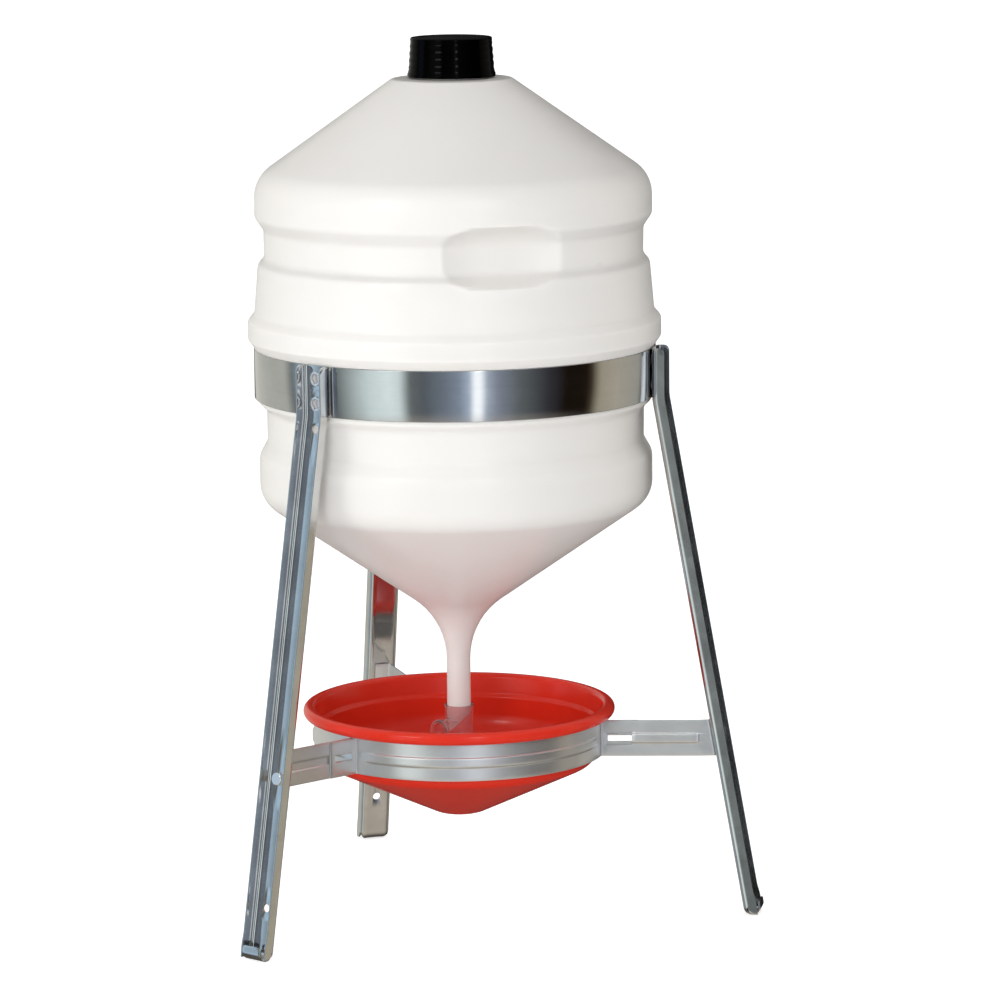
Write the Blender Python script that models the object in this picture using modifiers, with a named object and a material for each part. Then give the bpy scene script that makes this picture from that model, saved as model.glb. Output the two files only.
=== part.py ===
"""Gravity poultry waterer fount, modelled in Blender.

A translucent drum with a threaded cap hangs by its bead in a steel band on three folded legs.
Water runs down the drum's spout, through a clear outlet that turns on it, into a red bowl. The
bowl rests by its rolled rim on a ring of three folded strips, whose arms are bolted to the legs.

Metres, +Z up. The ground is z = 0. The vessel's axis is vertical, and the origin is on the ground
at the middle of the plan's box, a little in front of the axis' foot. The grip faces -Y and the
back leg stands at +Y.
"""
import math

import bmesh
import bpy
from mathutils import Matrix, Vector

GAP = 0.0003                        # between pieces that touch

# Support band, a rolled steel strip
BAND_RADIUS = 0.1700
BAND_THICKNESS = 0.0012
BAND_TOP = 0.4845
BAND_HEIGHT = 0.042
BAND_BOTTOM = BAND_TOP - BAND_HEIGHT

# Legs, folded channels that open outwards
LEG_AZIMUTHS = {"right": -30.0, "back": 90.0, "left": -150.0}
LEG_SHEET = 0.0015
LEG_WIDTH = 0.0270
LEG_DEPTH = 0.0112
LEG_BEND = 0.0035
LEG_TOP = BAND_TOP + 0.0004
LEG_CORNER = 0.0045
LEG_SPLAY = math.radians(9.95)
LEG_FACE = BAND_RADIUS + 0.0004     # inner face of the web, beside the band
KINK_TOP = 0.4465
KINK_RADIUS = 0.050
FOOT_BEND = 0.0080
FOOT_LIP_BEND = 0.0025
FOOT_STEPS = 4
FOOT_LIP_TOP = 0.0125
FLANGE_CLEAR = 0.0012               # flange's lower edge above the ground
FLANGE_END_LEVELS = (0.0, 0.0, 0.0006, 0.0040)      # its rounded lower edge, from lip to bend
LEG_HOLE_RADIUS = 0.0034
LEG_HOLE_UPPER_Z = 0.4320
LEG_HOLE_LOWER_Z = 0.0410

# Hollow rivets between band and legs
EYELET_OUTER = 0.0048
EYELET_BORE = 0.0040
EYELET_FLANGE = 0.0060
EYELET_FLANGE_THICKNESS = 0.0009
EYELET_SPACING = 0.0210

# Bowl ring, three folded strips, each ending in an arm to the next leg
STRIP_SHEET = 0.0010
STRIP_HEIGHT = 0.0310
RING_RADIUS = 0.1246
RING_BOTTOM = 0.1335
RING_TOP = RING_BOTTOM + STRIP_HEIGHT
ARM_RISE = 0.0035                   # from the ring out to the leg
ARM_OFFSET = -0.0070                # arm's middle plane from the leg's middle plane
STRIP_BEND = 0.0020
JOINT_SLOT_START = 0.1293
JOINT_SLOT_END = 0.1515
JOINT_TAB_END = 0.1562
JOINT_SLOT_MARGIN = 0.0007
ARM_BEAD_END = 0.2090
BEAD_DEPTH = 0.0015
BEAD_CREST = 0.0024
BEAD_BASE = 0.0039
ARM_SLOT_HALF = 0.0059
CLINCH_DEPTH = 0.0028
END_TAB_REACH = 0.0065

# M6 bolts and nuts through the legs and the arms' end tabs
BOLT_Z = 0.1470
BOLT_RADIUS = 0.0029
BOLT_LENGTH = 0.0120
BOLT_HOLE = 0.0033
HEX_FLATS = 0.0100
BOLT_HEAD = 0.0040
NUT_HEIGHT = 0.0050

# Vessel
WALL = 0.0025
NECK_RADIUS = 0.0302
NECK_TOP = 0.7382
DECK_Z = 0.7100
BEAD_RADIUS = 0.1748
REST_Z = BAND_TOP + GAP
SPOUT_RADIUS = 0.0101
SPOUT_END = 0.1500
SPOUT_CUT_RISE = 0.0185
SPOUT_LONG_SIDE = math.radians(162.0)
GRIP_Z = 0.5750
GRIP_HALF_HEIGHT = 0.0240
GRIP_HALF_ANGLE = math.radians(18.5)
GRIP_DEPTH = 0.0150
VESSEL_STEPS = 36

# Cap with its thread
THREAD_PITCH = 0.0060
THREAD_TURNS = 1.75
THREAD_ROOT = 0.0030
THREAD_CREST = 0.0018
NECK_THREAD_RADIUS = 0.0318
NECK_THREAD_START = 0.7190
CAP_BOTTOM = 0.7113
CAP_TOP = 0.7440
CAP_CEILING = 0.7406
CAP_INNER = 0.0327
CAP_THREAD_RADIUS = 0.0309
LINER_THICKNESS = 0.0018
LINER_RADIUS = 0.0303
THREAD_STEPS = 36

# Outlet that turns on the spout
OUTLET_TOP = 0.1735
OUTLET_BOTTOM = 0.1425
OUTLET_BORE = 0.0107
OUTLET_WALL = 0.0014
OUTLET_RIM = 0.0128
OUTLET_STEPS = 24
PORT_AZIMUTH = math.radians(-150.0)
PORT_Z = 0.1540
PORT_REACH = 0.0267
PORT_RADIUS = 0.0090
PORT_RIM = 0.0099
PORT_BORE = 0.0076

# Bowl
RIM_TUBE = 0.0053
RIM_RADIUS = 0.1281
RIM_Z = RING_TOP + GAP + RIM_TUBE
BOWL_WALL = 0.0020
BOWL_TIP_Z = 0.0797
BOWL_STEPS = 36

# Middle surface of a leg's web below its kink, and the plan's box
WEB_MIDDLE = LEG_FACE + LEG_SHEET / 2
KINK_END_X = WEB_MIDDLE + KINK_RADIUS * (1 - math.cos(LEG_SPLAY))
KINK_END_Z = KINK_TOP - KINK_RADIUS * math.sin(LEG_SPLAY)
FOOT_CENTRE_Z = FOOT_BEND + LEG_SHEET / 2
FOOT_START_Z = FOOT_CENTRE_Z - FOOT_BEND * math.sin(LEG_SPLAY)
FOOT_START_X = KINK_END_X + (KINK_END_Z - FOOT_START_Z) * math.tan(LEG_SPLAY)
FLANGE_REACH = LEG_DEPTH - LEG_SHEET / 2
FOOT_LIP_X = FOOT_START_X + FLANGE_REACH * math.cos(LEG_SPLAY) + 0.0030
STAND_AXIS_Y = -(FOOT_LIP_X + LEG_SHEET / 2 - BEAD_RADIUS) / 2


def clear_scene():
    for obj in list(bpy.data.objects):
        bpy.data.objects.remove(obj, do_unlink=True)


def new_collection(name):
    collection = bpy.data.collections.new(name)
    bpy.context.scene.collection.children.link(collection)
    return collection


def new_material(name, colour, roughness, metallic, alpha=1.0):
    material = bpy.data.materials.new(name)
    material.use_nodes = True
    shader = material.node_tree.nodes["Principled BSDF"]
    shader.inputs["Base Color"].default_value = (*colour, 1.0)
    shader.inputs["Roughness"].default_value = roughness
    shader.inputs["Metallic"].default_value = metallic
    shader.inputs["Alpha"].default_value = alpha
    return material


def add_empty(name, location=(0.0, 0.0, 0.0), azimuth=0.0, parent=None):
    empty = bpy.data.objects.new(name, None)
    empty.empty_display_size = 0.03
    empty.location = location
    empty.rotation_euler = (0.0, 0.0, azimuth)
    empty.parent = parent
    PARTS.objects.link(empty)
    return empty


def add_piece(name, mesh, material, parent):
    piece = bpy.data.objects.new(name, mesh)
    piece.parent = parent
    mesh.materials.append(material)
    PARTS.objects.link(piece)
    return piece


def add_cutter(name, mesh, parent=None):
    cutter = bpy.data.objects.new(name, mesh)
    cutter.parent = parent
    cutter.hide_render = True
    cutter.display_type = "WIRE"
    CUTTERS.objects.link(cutter)
    return cutter


def profile_mesh(name, profile, closed):
    """Edges through (radius, height) points that run down the outer side."""
    mesh = bpy.data.meshes.new(name)
    count = len(profile)
    edges = [(i, i + 1) for i in range(count - 1)]
    if closed:
        edges.append((count - 1, 0))
    mesh.from_pydata([(radius, 0.0, height) for radius, height in profile], edges, [])
    return mesh


def add_turn(obj, steps):
    """Turns a profile about the object's own Z axis."""
    screw = obj.modifiers.new("turn", "SCREW")
    screw.axis = "Z"
    screw.steps = steps
    screw.render_steps = steps
    screw.use_merge_vertices = True
    screw.merge_threshold = 0.00001
    screw.use_smooth_shade = True
    return screw


def evaluated_mesh(obj):
    """The object's mesh with its modifiers applied."""
    bpy.context.view_layer.update()
    depsgraph = bpy.context.evaluated_depsgraph_get()
    return bpy.data.meshes.new_from_object(obj.evaluated_get(depsgraph))


def turned_mesh(name, profile, closed, steps):
    obj = bpy.data.objects.new(name, profile_mesh(name, profile, closed))
    bpy.context.scene.collection.objects.link(obj)
    add_turn(obj, steps)
    mesh = evaluated_mesh(obj)
    mesh.name = name
    bpy.data.objects.remove(obj, do_unlink=True)
    return mesh


def boolean(obj, other, operation):
    modifier = obj.modifiers.new(operation.lower(), "BOOLEAN")
    modifier.operation = operation
    modifier.solver = "EXACT"
    modifier.object = other


def smooth(mesh, angle=35.0):
    mesh.shade_smooth()
    mesh.set_sharp_from_angle(angle=math.radians(angle))


def arc(centre, radius, start, end, count):
    """Points on an arc from start to end, in degrees, both ends included."""
    points = []
    for i in range(count + 1):
        angle = math.radians(start + (end - start) * i / count)
        points.append((centre[0] + radius * math.cos(angle), centre[1] + radius * math.sin(angle)))
    return points


def cylinder_mesh(name, radius, length, segments, matrix, corner_up=False):
    """Cylinder or prism whose axis starts as Z and is then carried by the matrix."""
    mesh = bpy.data.meshes.new(name)
    shape = bmesh.new()
    bmesh.ops.create_cone(shape, cap_ends=True, segments=segments, radius1=radius, radius2=radius,
                          depth=length)
    if corner_up:
        bmesh.ops.rotate(shape, verts=shape.verts, matrix=Matrix.Rotation(math.pi / 2, 3, "Z"))
    bmesh.ops.transform(shape, verts=shape.verts, matrix=matrix)
    shape.to_mesh(mesh)
    shape.free()
    return mesh


def joined_mesh(name, meshes):
    """One mesh of several separate bodies, for a cutter with many places."""
    shape = bmesh.new()
    for mesh in meshes:
        shape.from_mesh(mesh)
    result = bpy.data.meshes.new(name)
    shape.to_mesh(result)
    shape.free()
    return result


def grip_depth(angle, height):
    """How far the finger grips push the drum's wall in, on the sides facing -Y and +Y."""
    from_axis = abs(math.atan2(abs(math.cos(angle)), abs(math.sin(angle))))
    across = max(0.0, 1.0 - (from_axis / GRIP_HALF_ANGLE) ** 4)
    along = max(0.0, 1.0 - ((height - GRIP_Z) / GRIP_HALF_HEIGHT) ** 4)
    return GRIP_DEPTH * across * along


def helical_ridge(name, root, crest, start_z):
    """A thread's ridge: a trapezoid carried up a right-hand helix."""
    mesh = bpy.data.meshes.new(name)
    shape = bmesh.new()
    sections = []
    count = int(THREAD_TURNS * THREAD_STEPS)
    for i in range(count + 1):
        angle = 2 * math.pi * i / THREAD_STEPS
        height = start_z + THREAD_PITCH * i / THREAD_STEPS
        section = []
        for radius, offset in ((root, -THREAD_ROOT / 2), (crest, -THREAD_CREST / 2),
                               (crest, THREAD_CREST / 2), (root, THREAD_ROOT / 2)):
            place = (radius * math.cos(angle), radius * math.sin(angle), height + offset)
            section.append(shape.verts.new(place))
        sections.append(section)
    for lower, upper in zip(sections, sections[1:]):
        for k in range(4):
            shape.faces.new((lower[k], lower[(k + 1) % 4], upper[(k + 1) % 4], upper[k]))
    shape.faces.new(sections[0])
    shape.faces.new(sections[-1])
    bmesh.ops.recalc_face_normals(shape, faces=shape.faces)
    shape.to_mesh(mesh)
    shape.free()
    return mesh


def vessel_profile():
    """Drum's closed wall section: down the outside, then up the inside."""
    outside = [(NECK_RADIUS, NECK_TOP), (NECK_RADIUS, DECK_Z + 0.0004), (0.0470, DECK_Z)]
    outside += [(0.0520, 0.7088), (0.0575, 0.7058), (0.1535, 0.6385), (0.1598, 0.6330)]
    outside += [(0.1648, 0.6260), (0.1676, 0.6165), (0.1677, 0.6000), (0.1655, 0.5930)]
    outside += [(0.1608, 0.5860), (0.1602, 0.5760)]
    outside += [(0.1597, 0.5650), (0.1637, 0.5585), (0.1656, 0.5530), (0.1668, 0.5420)]
    outside += [(0.1690, 0.5145), (0.1733, 0.5092), (BEAD_RADIUS, 0.5040), (BEAD_RADIUS, 0.4945)]
    outside += [(0.1729, 0.4893), (0.1700, REST_Z + 0.0012), (0.1697, REST_Z), (0.1665, REST_Z)]
    outside += [(0.1665, 0.4395), (0.1598, 0.4320), (0.1596, 0.4060), (0.1645, 0.3970)]
    outside += [(0.1666, 0.3890), (0.1667, 0.3700), (0.1652, 0.3610), (0.1618, 0.3537)]
    outside += [(0.1574, 0.3490), (0.0518, 0.2761), (0.0385, 0.2657), (0.0283, 0.2553)]
    outside += [(0.0203, 0.2420), (0.0146, 0.2291), (0.0115, 0.2150)]
    outside += [(SPOUT_RADIUS, 0.1950), (SPOUT_RADIUS, SPOUT_END)]
    inside = [(0.0081, SPOUT_END), (0.0081, 0.1950), (0.0095, 0.2155), (0.0127, 0.2300)]
    inside += [(0.0185, 0.2432)]
    inside += [(0.0265, 0.2570), (0.0370, 0.2678), (0.1556, 0.3508), (0.1625, 0.3610), (0.1642, 0.3705)]
    inside += [(0.1641, 0.3885), (0.1571, 0.4052), (0.1573, 0.4330), (0.1640, 0.4405), (0.1640, 0.4870)]
    inside += [(0.1723, 0.4950), (0.1723, 0.5035), (0.1667, 0.5130), (0.1643, 0.5420), (0.1611, 0.5600)]
    inside += [(0.1572, 0.5655), (0.1578, 0.5805), (0.1652, 0.6005), (0.1651, 0.6160), (0.1578, 0.6314)]
    inside += [(0.0560, 0.7037), (0.0465, DECK_Z - WALL), (0.0277, DECK_Z - WALL), (0.0277, NECK_TOP)]
    return outside + inside


def make_vessel(parent, material):
    mesh = turned_mesh("tank", vessel_profile(), True, VESSEL_STEPS)
    for vertex in mesh.vertices:
        angle = math.atan2(vertex.co.y, vertex.co.x)
        depth = grip_depth(angle, vertex.co.z)
        vertex.co.x -= depth * math.cos(angle)
        vertex.co.y -= depth * math.sin(angle)
    smooth(mesh)
    tank = add_piece("tank", mesh, material, parent)
    ridge = helical_ridge("neck_ridge", NECK_RADIUS - 0.0006, NECK_THREAD_RADIUS, NECK_THREAD_START)
    boolean(tank, add_cutter("neck_ridge", ridge, parent), "UNION")
    slope = math.atan2(SPOUT_CUT_RISE, 2 * SPOUT_RADIUS)
    middle = Vector((0.0, 0.0, SPOUT_END + SPOUT_CUT_RISE / 2))
    turn = Matrix.Rotation(SPOUT_LONG_SIDE, 4, "Z") @ Matrix.Rotation(slope, 4, "Y")
    place = Matrix.Translation(middle) @ turn @ Matrix.Translation((0.0, 0.0, -0.02))
    cutter = cylinder_mesh("spout_cut", 0.03, 0.04, 4, place)
    boolean(tank, add_cutter("spout_cut", cutter, parent), "DIFFERENCE")


def make_cap(parent, material):
    profile = [(0.0, CAP_TOP), (0.0325, CAP_TOP - 0.0002), (0.0343, CAP_TOP - 0.0009)]
    profile += [(0.0352, CAP_TOP - 0.0026), (0.0363, CAP_BOTTOM + 0.0038)]
    profile += [(0.0371, CAP_BOTTOM + 0.0022), (0.0371, CAP_BOTTOM), (CAP_INNER, CAP_BOTTOM)]
    profile += [(CAP_INNER, CAP_CEILING), (0.0, CAP_CEILING)]
    mesh = turned_mesh("screw_cap", profile, False, THREAD_STEPS)
    smooth(mesh)
    cap = add_piece("screw_cap", mesh, material, parent)
    start = NECK_THREAD_START - THREAD_PITCH / 2
    ridge = helical_ridge("cap_ridge", CAP_INNER + 0.0006, CAP_THREAD_RADIUS, start)
    boolean(cap, add_cutter("cap_ridge", ridge, parent), "UNION")


def make_liner(parent, material):
    top = CAP_CEILING - GAP
    bottom = top - LINER_THICKNESS
    profile = [(0.0, top), (LINER_RADIUS, top), (LINER_RADIUS, bottom), (0.0, bottom)]
    add_piece("cap_liner", turned_mesh("cap_liner", profile, False, THREAD_STEPS), material, parent)


def make_outlet(parent, material):
    outer = OUTLET_BORE + OUTLET_WALL
    floor = OUTLET_BOTTOM + OUTLET_WALL
    profile = [(0.0, OUTLET_TOP), (OUTLET_RIM - 0.0004, OUTLET_TOP), (OUTLET_RIM, OUTLET_TOP - 0.0008)]
    profile += [(OUTLET_RIM - 0.0004, OUTLET_TOP - 0.0016), (outer, OUTLET_TOP - 0.0020)]
    profile += [(outer, OUTLET_BOTTOM + 0.0008), (outer - 0.0008, OUTLET_BOTTOM), (0.0, OUTLET_BOTTOM)]
    mesh = turned_mesh("outlet_valve", profile, False, OUTLET_STEPS)
    smooth(mesh)
    outlet = add_piece("outlet_valve", mesh, material, parent)
    outwards = Matrix.Translation((0.0, 0.0, PORT_Z)) @ Matrix.Rotation(PORT_AZIMUTH, 4, "Z")
    outwards = outwards @ Matrix.Rotation(math.pi / 2, 4, "Y")
    tube = [(0.0, PORT_REACH), (PORT_RIM - 0.0004, PORT_REACH), (PORT_RIM, PORT_REACH - 0.0008)]
    tube += [(PORT_RIM - 0.0004, PORT_REACH - 0.0016), (PORT_RADIUS, PORT_REACH - 0.0020)]
    tube += [(PORT_RADIUS, 0.0085), (0.0, 0.0085)]
    port = turned_mesh("port_tube", tube, False, 24)
    port.transform(outwards)
    boolean(outlet, add_cutter("port_tube", port, parent), "UNION")
    room = [cylinder_mesh("collar_bore", OUTLET_BORE, OUTLET_TOP - floor + 0.002, OUTLET_STEPS,
                          Matrix.Translation((0.0, 0.0, (OUTLET_TOP + floor) / 2 + 0.001)))]
    room.append(cylinder_mesh("port_bore", PORT_BORE, PORT_REACH - 0.004, 24,
                              outwards @ Matrix.Translation((0.0, 0.0, PORT_REACH / 2 + 0.004))))
    for index, bore in enumerate(room):
        boolean(outlet, add_cutter("outlet_bore_%d" % index, bore, parent), "DIFFERENCE")


def bowl_profile():
    """From the inside's lowest point up the inside, over the rolled rim and down the outside."""
    inside = [(0.0, BOWL_TIP_Z + BOWL_WALL), (0.0120, BOWL_TIP_Z + 0.0023), (0.0200, 0.0832)]
    inside += [(0.1080, 0.1241), (0.1138, 0.1276), (0.1164, 0.1328), (0.1178, 0.1420)]
    inside += [(0.1188, 0.1568), (0.1206, 0.1600), (0.1221, 0.1664)]
    rim = arc((RIM_RADIUS, RIM_Z), RIM_TUBE, 170.0, -170.0, 10)
    outside = [(0.1222, 0.1612), (0.1208, 0.1540), (0.1198, 0.1420), (0.1184, 0.1318)]
    outside += [(0.1156, 0.1262), (0.1100, 0.1229), (0.0200, 0.0808), (0.0120, 0.0800)]
    outside += [(0.0, BOWL_TIP_Z)]
    return inside + rim + outside


def make_bowl(parent, material):
    mesh = turned_mesh("bowl", bowl_profile(), False, BOWL_STEPS)
    smooth(mesh)
    add_piece("bowl", mesh, material, parent)


def make_band(parent, material):
    inner = BAND_RADIUS - BAND_THICKNESS
    profile = [(BAND_RADIUS, BAND_TOP), (BAND_RADIUS, BAND_BOTTOM)]
    profile += [(inner, BAND_BOTTOM), (inner, BAND_TOP)]
    mesh = turned_mesh("support_band", profile, True, 48)
    smooth(mesh)
    band = add_piece("support_band", mesh, material, parent)
    holes = []
    for azimuth in LEG_AZIMUTHS.values():
        turn = Matrix.Rotation(math.radians(azimuth), 4, "Z")
        for height in eyelet_heights():
            place = turn @ across_web(BAND_RADIUS, height, 0.0)
            holes.append(cylinder_mesh("hole", EYELET_OUTER + 0.0004, 0.01, 16, place))
    boolean(band, add_cutter("band_holes", joined_mesh("band_holes", holes), parent), "DIFFERENCE")


def eyelet_heights():
    middle = BAND_TOP - BAND_HEIGHT / 2
    return (middle + EYELET_SPACING / 2, middle - EYELET_SPACING / 2)


def web_point(height):
    """Middle of the web below the kink, as (x, z) in the leg's own frame."""
    return (KINK_END_X + (KINK_END_Z - height) * math.tan(LEG_SPLAY), height)


def leg_stations():
    """Web's middle line from the top to the flanges' lower ends: (x, z, lean)."""
    stations = [(WEB_MIDDLE, LEG_TOP, 0.0), (WEB_MIDDLE, LEG_TOP - 0.0060, 0.0)]
    for i in range(4):
        lean = LEG_SPLAY * i / 3
        x = WEB_MIDDLE + KINK_RADIUS * (1 - math.cos(lean))
        stations.append((x, KINK_TOP - KINK_RADIUS * math.sin(lean), lean))
    stations.append((FOOT_START_X, FOOT_START_Z, LEG_SPLAY))
    return stations


def foot_stations():
    """Web's middle line round the foot, out along the ground and up the lip: (x, z, half width)."""
    narrow = LEG_WIDTH / 2 - LEG_SHEET / 2 - LEG_BEND
    points = []
    centre_x = FOOT_START_X + FOOT_BEND * math.cos(LEG_SPLAY)
    start = 180.0 + math.degrees(LEG_SPLAY)
    for x, z in arc((centre_x, FOOT_CENTRE_Z), FOOT_BEND, start, 270.0, FOOT_STEPS)[1:]:
        points.append((x, z, narrow))
    lip_centre = (FOOT_LIP_X - FOOT_LIP_BEND, LEG_SHEET / 2 + FOOT_LIP_BEND)
    for x, z in arc(lip_centre, FOOT_LIP_BEND, -90.0, 0.0, 3):
        points.append((x, z, narrow))
    wide = LEG_WIDTH / 2 - LEG_SHEET / 2
    middle_z = (lip_centre[1] + FOOT_LIP_TOP) / 2
    for z in (middle_z, FOOT_LIP_TOP):
        points.append((FOOT_LIP_X - (z - lip_centre[1]) * math.tan(LEG_SPLAY), z, wide))
    return points


def leg_columns():
    """Channel section across the leg: (across, outwards, drop of the top edge)."""
    half = (LEG_WIDTH - LEG_SHEET) / 2
    cut = 0.3 * LEG_CORNER
    left = [(-half, FLANGE_REACH, LEG_CORNER), (-half, FLANGE_REACH - cut, cut)]
    left += [(-half, FLANGE_REACH - LEG_CORNER, 0.0)]
    for across, outwards in arc((-half + LEG_BEND, LEG_BEND), LEG_BEND, 180.0, 270.0, 3):
        left.append((across, outwards, 0.0))
    return left + [(-across, outwards, drop) for across, outwards, drop in reversed(left)]


def add_toe_side(shape, row, flipped):
    """Lower end of one flange; the row of its points runs from the flange's lip to the web's edge."""
    lower = []
    for vertex, level in zip(row, FLANGE_END_LEVELS):
        height = FLANGE_CLEAR + level
        shift = (vertex.co.z - height) * math.tan(LEG_SPLAY)
        lower.append(shape.verts.new((vertex.co.x + shift, vertex.co.y, height)))
    for k in range(len(lower) - 1):
        corners = (row[k], row[k + 1], lower[k + 1], lower[k])
        shape.faces.new(corners[::-1] if flipped else corners)


def leg_mesh():
    """Folded sheet of one leg, standing at azimuth 0, as an open surface."""
    mesh = bpy.data.meshes.new("leg")
    shape = bmesh.new()
    columns = leg_columns()
    rows = []
    for index, (x, z, lean) in enumerate(leg_stations()):
        row = []
        for across, outwards, drop in columns:
            lowered = drop if index == 0 else 0.0
            place = (x + outwards * math.cos(lean), across, z + outwards * math.sin(lean) - lowered)
            row.append(shape.verts.new(place))
        rows.append(row)
    for upper, lower in zip(rows, rows[1:]):
        for k in range(len(columns) - 1):
            shape.faces.new((upper[k], upper[k + 1], lower[k + 1], lower[k]))
    web = len(columns) // 2
    edges = [(rows[-1][web - 1], rows[-1][web])]
    for x, z, half in foot_stations():
        edges.append((shape.verts.new((x, -half, z)), shape.verts.new((x, half, z))))
    for upper, lower in zip(edges, edges[1:]):
        shape.faces.new((upper[0], upper[1], lower[1], lower[0]))
    add_toe_side(shape, rows[-1][:web], False)
    add_toe_side(shape, rows[-1][:web - 1:-1], True)
    shape.to_mesh(mesh)
    shape.free()
    return mesh


def add_sheet(obj, thickness):
    """Gives a folded surface its thickness, half to each side."""
    solidify = obj.modifiers.new("sheet", "SOLIDIFY")
    solidify.thickness = thickness
    solidify.offset = 0.0
    solidify.use_even_offset = True


def across_web(x, height, lean):
    """Carries a Z axis to the web's outward normal at a height, in the leg's own frame."""
    return Matrix.Translation((x, 0.0, height)) @ Matrix.Rotation(math.pi / 2 - lean, 4, "Y")


def make_leg(side, axis, material):
    turn = add_empty("leg_axis_" + side, azimuth=math.radians(LEG_AZIMUTHS[side]), parent=axis)
    leg = add_piece("leg_" + side, leg_mesh(), material, turn)
    add_sheet(leg, LEG_SHEET)
    holes = []
    for height in eyelet_heights():
        place = across_web(WEB_MIDDLE, height, 0.0)
        holes.append(cylinder_mesh("hole", EYELET_OUTER + 0.0004, 0.006, 16, place))
    for height, radius in ((LEG_HOLE_UPPER_Z, LEG_HOLE_RADIUS), (BOLT_Z, BOLT_HOLE),
                           (LEG_HOLE_LOWER_Z, LEG_HOLE_RADIUS)):
        place = across_web(*web_point(height), LEG_SPLAY)
        holes.append(cylinder_mesh("hole", radius, 0.006, 16, place))
    cutter = add_cutter("leg_holes_" + side, joined_mesh("leg_holes", holes), turn)
    boolean(leg, cutter, "DIFFERENCE")
    return turn


def make_eyelets(side, turn, material):
    inner_face = BAND_RADIUS - BAND_THICKNESS - 0.0006
    outer_face = LEG_FACE + LEG_SHEET + GAP
    profile = [(EYELET_FLANGE, outer_face + EYELET_FLANGE_THICKNESS), (EYELET_FLANGE, outer_face)]
    profile += [(EYELET_OUTER, outer_face), (EYELET_OUTER, inner_face), (EYELET_FLANGE, inner_face)]
    profile += [(EYELET_FLANGE, inner_face - EYELET_FLANGE_THICKNESS)]
    profile += [(EYELET_BORE, inner_face - EYELET_FLANGE_THICKNESS)]
    profile += [(EYELET_BORE, outer_face + EYELET_FLANGE_THICKNESS)]
    for level, height in zip(("upper", "lower"), eyelet_heights()):
        mesh = turned_mesh("eyelet", profile, True, 14)
        mesh.transform(across_web(0.0, 0.0, 0.0))
        smooth(mesh)
        eyelet = add_piece("eyelet_%s_%s" % (level, side), mesh, material, turn)
        eyelet.location = (0.0, 0.0, height)


def strip_columns():
    """Plan of one strip from its joint tab round to its end tab at the next leg.

    Each column is (kind, function of height giving x and y); kinds mark the slots and the bead.
    """
    middle = RING_RADIUS - STRIP_SHEET / 2
    tab_plane = ARM_OFFSET + STRIP_SHEET + GAP
    columns = []

    def at_start(x, y, kind):
        columns.append((kind, lambda z, x=x, y=y: Vector((x, y, 0.0))))

    for x, kind in ((JOINT_TAB_END, "tab"), (JOINT_SLOT_END - JOINT_SLOT_MARGIN, "tab_slot"),
                    (JOINT_SLOT_START + JOINT_SLOT_MARGIN, "tab")):
        at_start(x, tab_plane, kind)
    start_angle = math.degrees(math.asin((tab_plane + STRIP_BEND) / middle))
    start_x = middle * math.cos(math.radians(start_angle))
    for x, y in arc((start_x + STRIP_BEND, tab_plane + STRIP_BEND), STRIP_BEND, 270.0, 180.0, 3):
        at_start(x, y, "bend")
    end_angle = 120.0 + math.degrees(math.asin((ARM_OFFSET - STRIP_BEND) / middle))
    steps = 14
    for i in range(1, steps):
        angle = start_angle + (end_angle - start_angle) * i / steps
        x = middle * math.cos(math.radians(angle))
        y = middle * math.sin(math.radians(angle))
        at_start(x, y, "ring" if 1 < i < steps - 1 else "run_out")
    next_leg = Matrix.Rotation(math.radians(120.0), 3, "Z")

    def at_end(x, y, kind):
        columns.append((kind, lambda z, x=x, y=y: next_leg @ Vector((x, y, 0.0))))

    end_x = middle * math.cos(math.radians(120.0 - end_angle))
    for x, y in arc((end_x + STRIP_BEND, ARM_OFFSET - STRIP_BEND), STRIP_BEND, 180.0, 90.0, 3):
        at_end(x, y, "bend")
    at_end(JOINT_SLOT_START, ARM_OFFSET, "arm_slot")
    at_end(JOINT_SLOT_END, ARM_OFFSET, "arm_bead")
    at_end(ARM_BEAD_END - 0.0030, ARM_OFFSET, "arm_bead")
    at_end(ARM_BEAD_END, ARM_OFFSET, "arm")
    stand_off = (LEG_SHEET / 2 + 0.0004 + STRIP_SHEET / 2) / math.cos(LEG_SPLAY)

    def by_leg(inset, y):
        def place(z):
            return next_leg @ Vector((web_point(z)[0] - stand_off - inset, y, 0.0))
        columns.append(("end", place))

    for x, y in arc((-STRIP_BEND, ARM_OFFSET + STRIP_BEND), STRIP_BEND, 270.0, 360.0, 3):
        by_leg(-x, y)
    by_leg(0.0, END_TAB_REACH)
    return columns


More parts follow.
